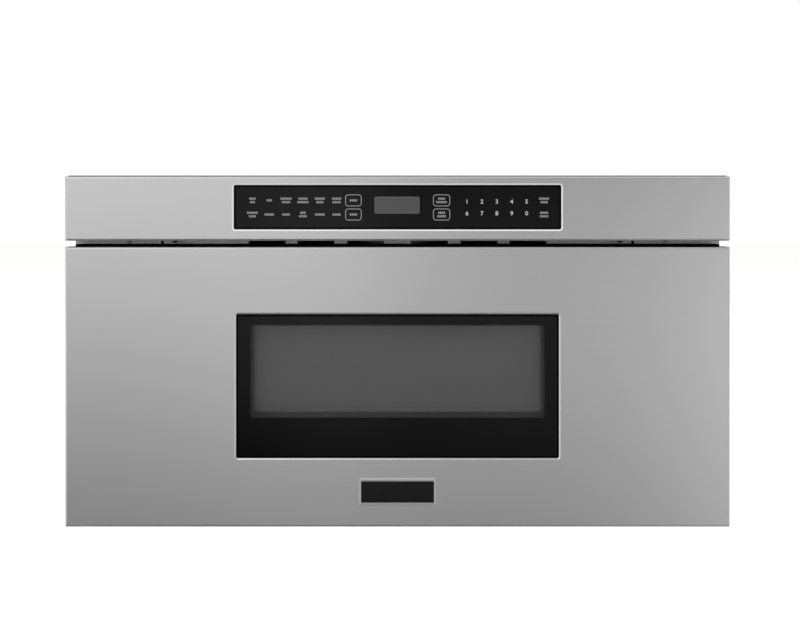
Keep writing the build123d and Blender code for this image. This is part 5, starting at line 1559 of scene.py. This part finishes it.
    def dim_strip(self) -> None:
        """A dim strip behind the object, which keeps its upper faces dark at the front."""
        tree = self.reflector("dim_strip", self.strip_y, self.strip_z)
        sockets = {"Color": linear("FFFFFF"), "Strength": self.room_tone}
        light = add_node(tree, "ShaderNodeEmission", sockets)
        add_node(tree, "ShaderNodeOutputMaterial", {"Surface": light})

    def reflector(self, name: str, y: float, heights: tuple[float, float]) -> Nodes:
        """A wide upright sheet that only reflections show.

        Args:
            name: The piece's name.
            y: Its depth.
            heights: Of its lower and its upper edge.

        Returns:
            Its material's nodes.
        """
        x, z = np.meshgrid((-self.sheet_half, self.sheet_half), heights, indexing="ij")
        grid = np.stack([x, np.full(x.shape, y), z], axis=-1)
        tree, made = self.stage_piece(name, Surface.grid(grid, (False, False)))
        made.visible_camera = False
        made.visible_diffuse = False
        made.visible_shadow = False
        made.visible_transmission = False
        return tree

    def stage_piece(self, name: str, surface: Surface) -> tuple[Nodes, bpy.types.Object]:
        """A piece of the stage, with an empty material.

        Args:
            name: The piece's name.
            surface: Its points and faces.

        Returns:
            The material's nodes and the object.
        """
        material = bpy.data.materials.new(name)
        material.use_nodes = True
        material.node_tree.nodes.clear()
        made = placed(name, surface.mesh(name))
        made.data.materials.append(material)
        return material.node_tree, made

    def lamp(self, name: str, place: tuple[float, float, float], size: float, power: float) -> None:
        """A soft square lamp that looks at the object.

        Args:
            name: The lamp's name.
            place: Where it hangs.
            size: Length of its side.
            power: In watts.
        """
        light = bpy.data.lights.new(name, "AREA")
        light.size = size
        light.energy = power
        made = placed(name, light)
        made.location = place
        made.rotation_euler = self.look(place, self.lamp_target)
        made.visible_glossy = False
        made.visible_camera = False

    @staticmethod
    def look(place: Sequence[float], target: Sequence[float]) -> tuple[float, float, float]:
        """Turns that point the -Z axis from a place at a target.

        Args:
            place: Where the lamp or camera is.
            target: What it looks at.

        Returns:
            Euler angles about X, Y and Z.
        """
        way = np.array(target, float) - np.array(place, float)
        tilt = math.atan2(math.hypot(way[0], way[1]), -way[2])
        return tilt, 0.0, math.atan2(way[1], way[0]) - math.pi / 2

    def world(self) -> None:
        """White where it is seen or mirrored, and a soft level where it lights."""
        world = bpy.data.worlds.new("studio_world")
        bpy.context.scene.world = world
        world.use_nodes = True
        tree = world.node_tree
        tree.nodes.clear()
        path = add_node(tree, "ShaderNodeLightPath").outputs
        shown = path["Is Camera Ray"]
        for ray in ("Is Glossy Ray", "Is Transmission Ray"):
            shown = add_node(tree, "ShaderNodeMath", {0: shown, 1: path[ray]}, operation="MAXIMUM")
        level = add_node(tree, "ShaderNodeMapRange", {"Value": shown, "To Min": self.world_level})
        sockets = {"Color": linear("FFFFFF"), "Strength": level}
        light = add_node(tree, "ShaderNodeBackground", sockets)
        add_node(tree, "ShaderNodeOutputWorld", {"Surface": light})

    def camera(self) -> None:
        """Level camera before the front, shifted down as the photograph's crop is."""
        data = bpy.data.cameras.new("camera")
        data.sensor_width = self.sensor
        data.lens = self.lens
        data.shift_y = self.shift
        made = placed("camera", data)
        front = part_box("door_skin")[0].y
        made.location = (self.camera_x, front - self.camera_distance, self.camera_height)
        made.rotation_euler = (math.pi / 2, 0.0, 0.0)
        bpy.context.scene.camera = made


def main() -> None:
    """Builds and dresses each group in turn, then the studio."""
    logging.basicConfig(level=logging.INFO, format="%(name)s %(message)s")
    groups = (
        ControlPanel(), DrawerFront(), DrawerBin(), SlidesAndDrive(), Cavity(), PowerParts(),
        Interlocks(), Case(), Studio(),
    )
    for group in groups:
        group.build()
        LOG.info("%s built", type(group).__name__)


if __name__ == "__main__":
    main()
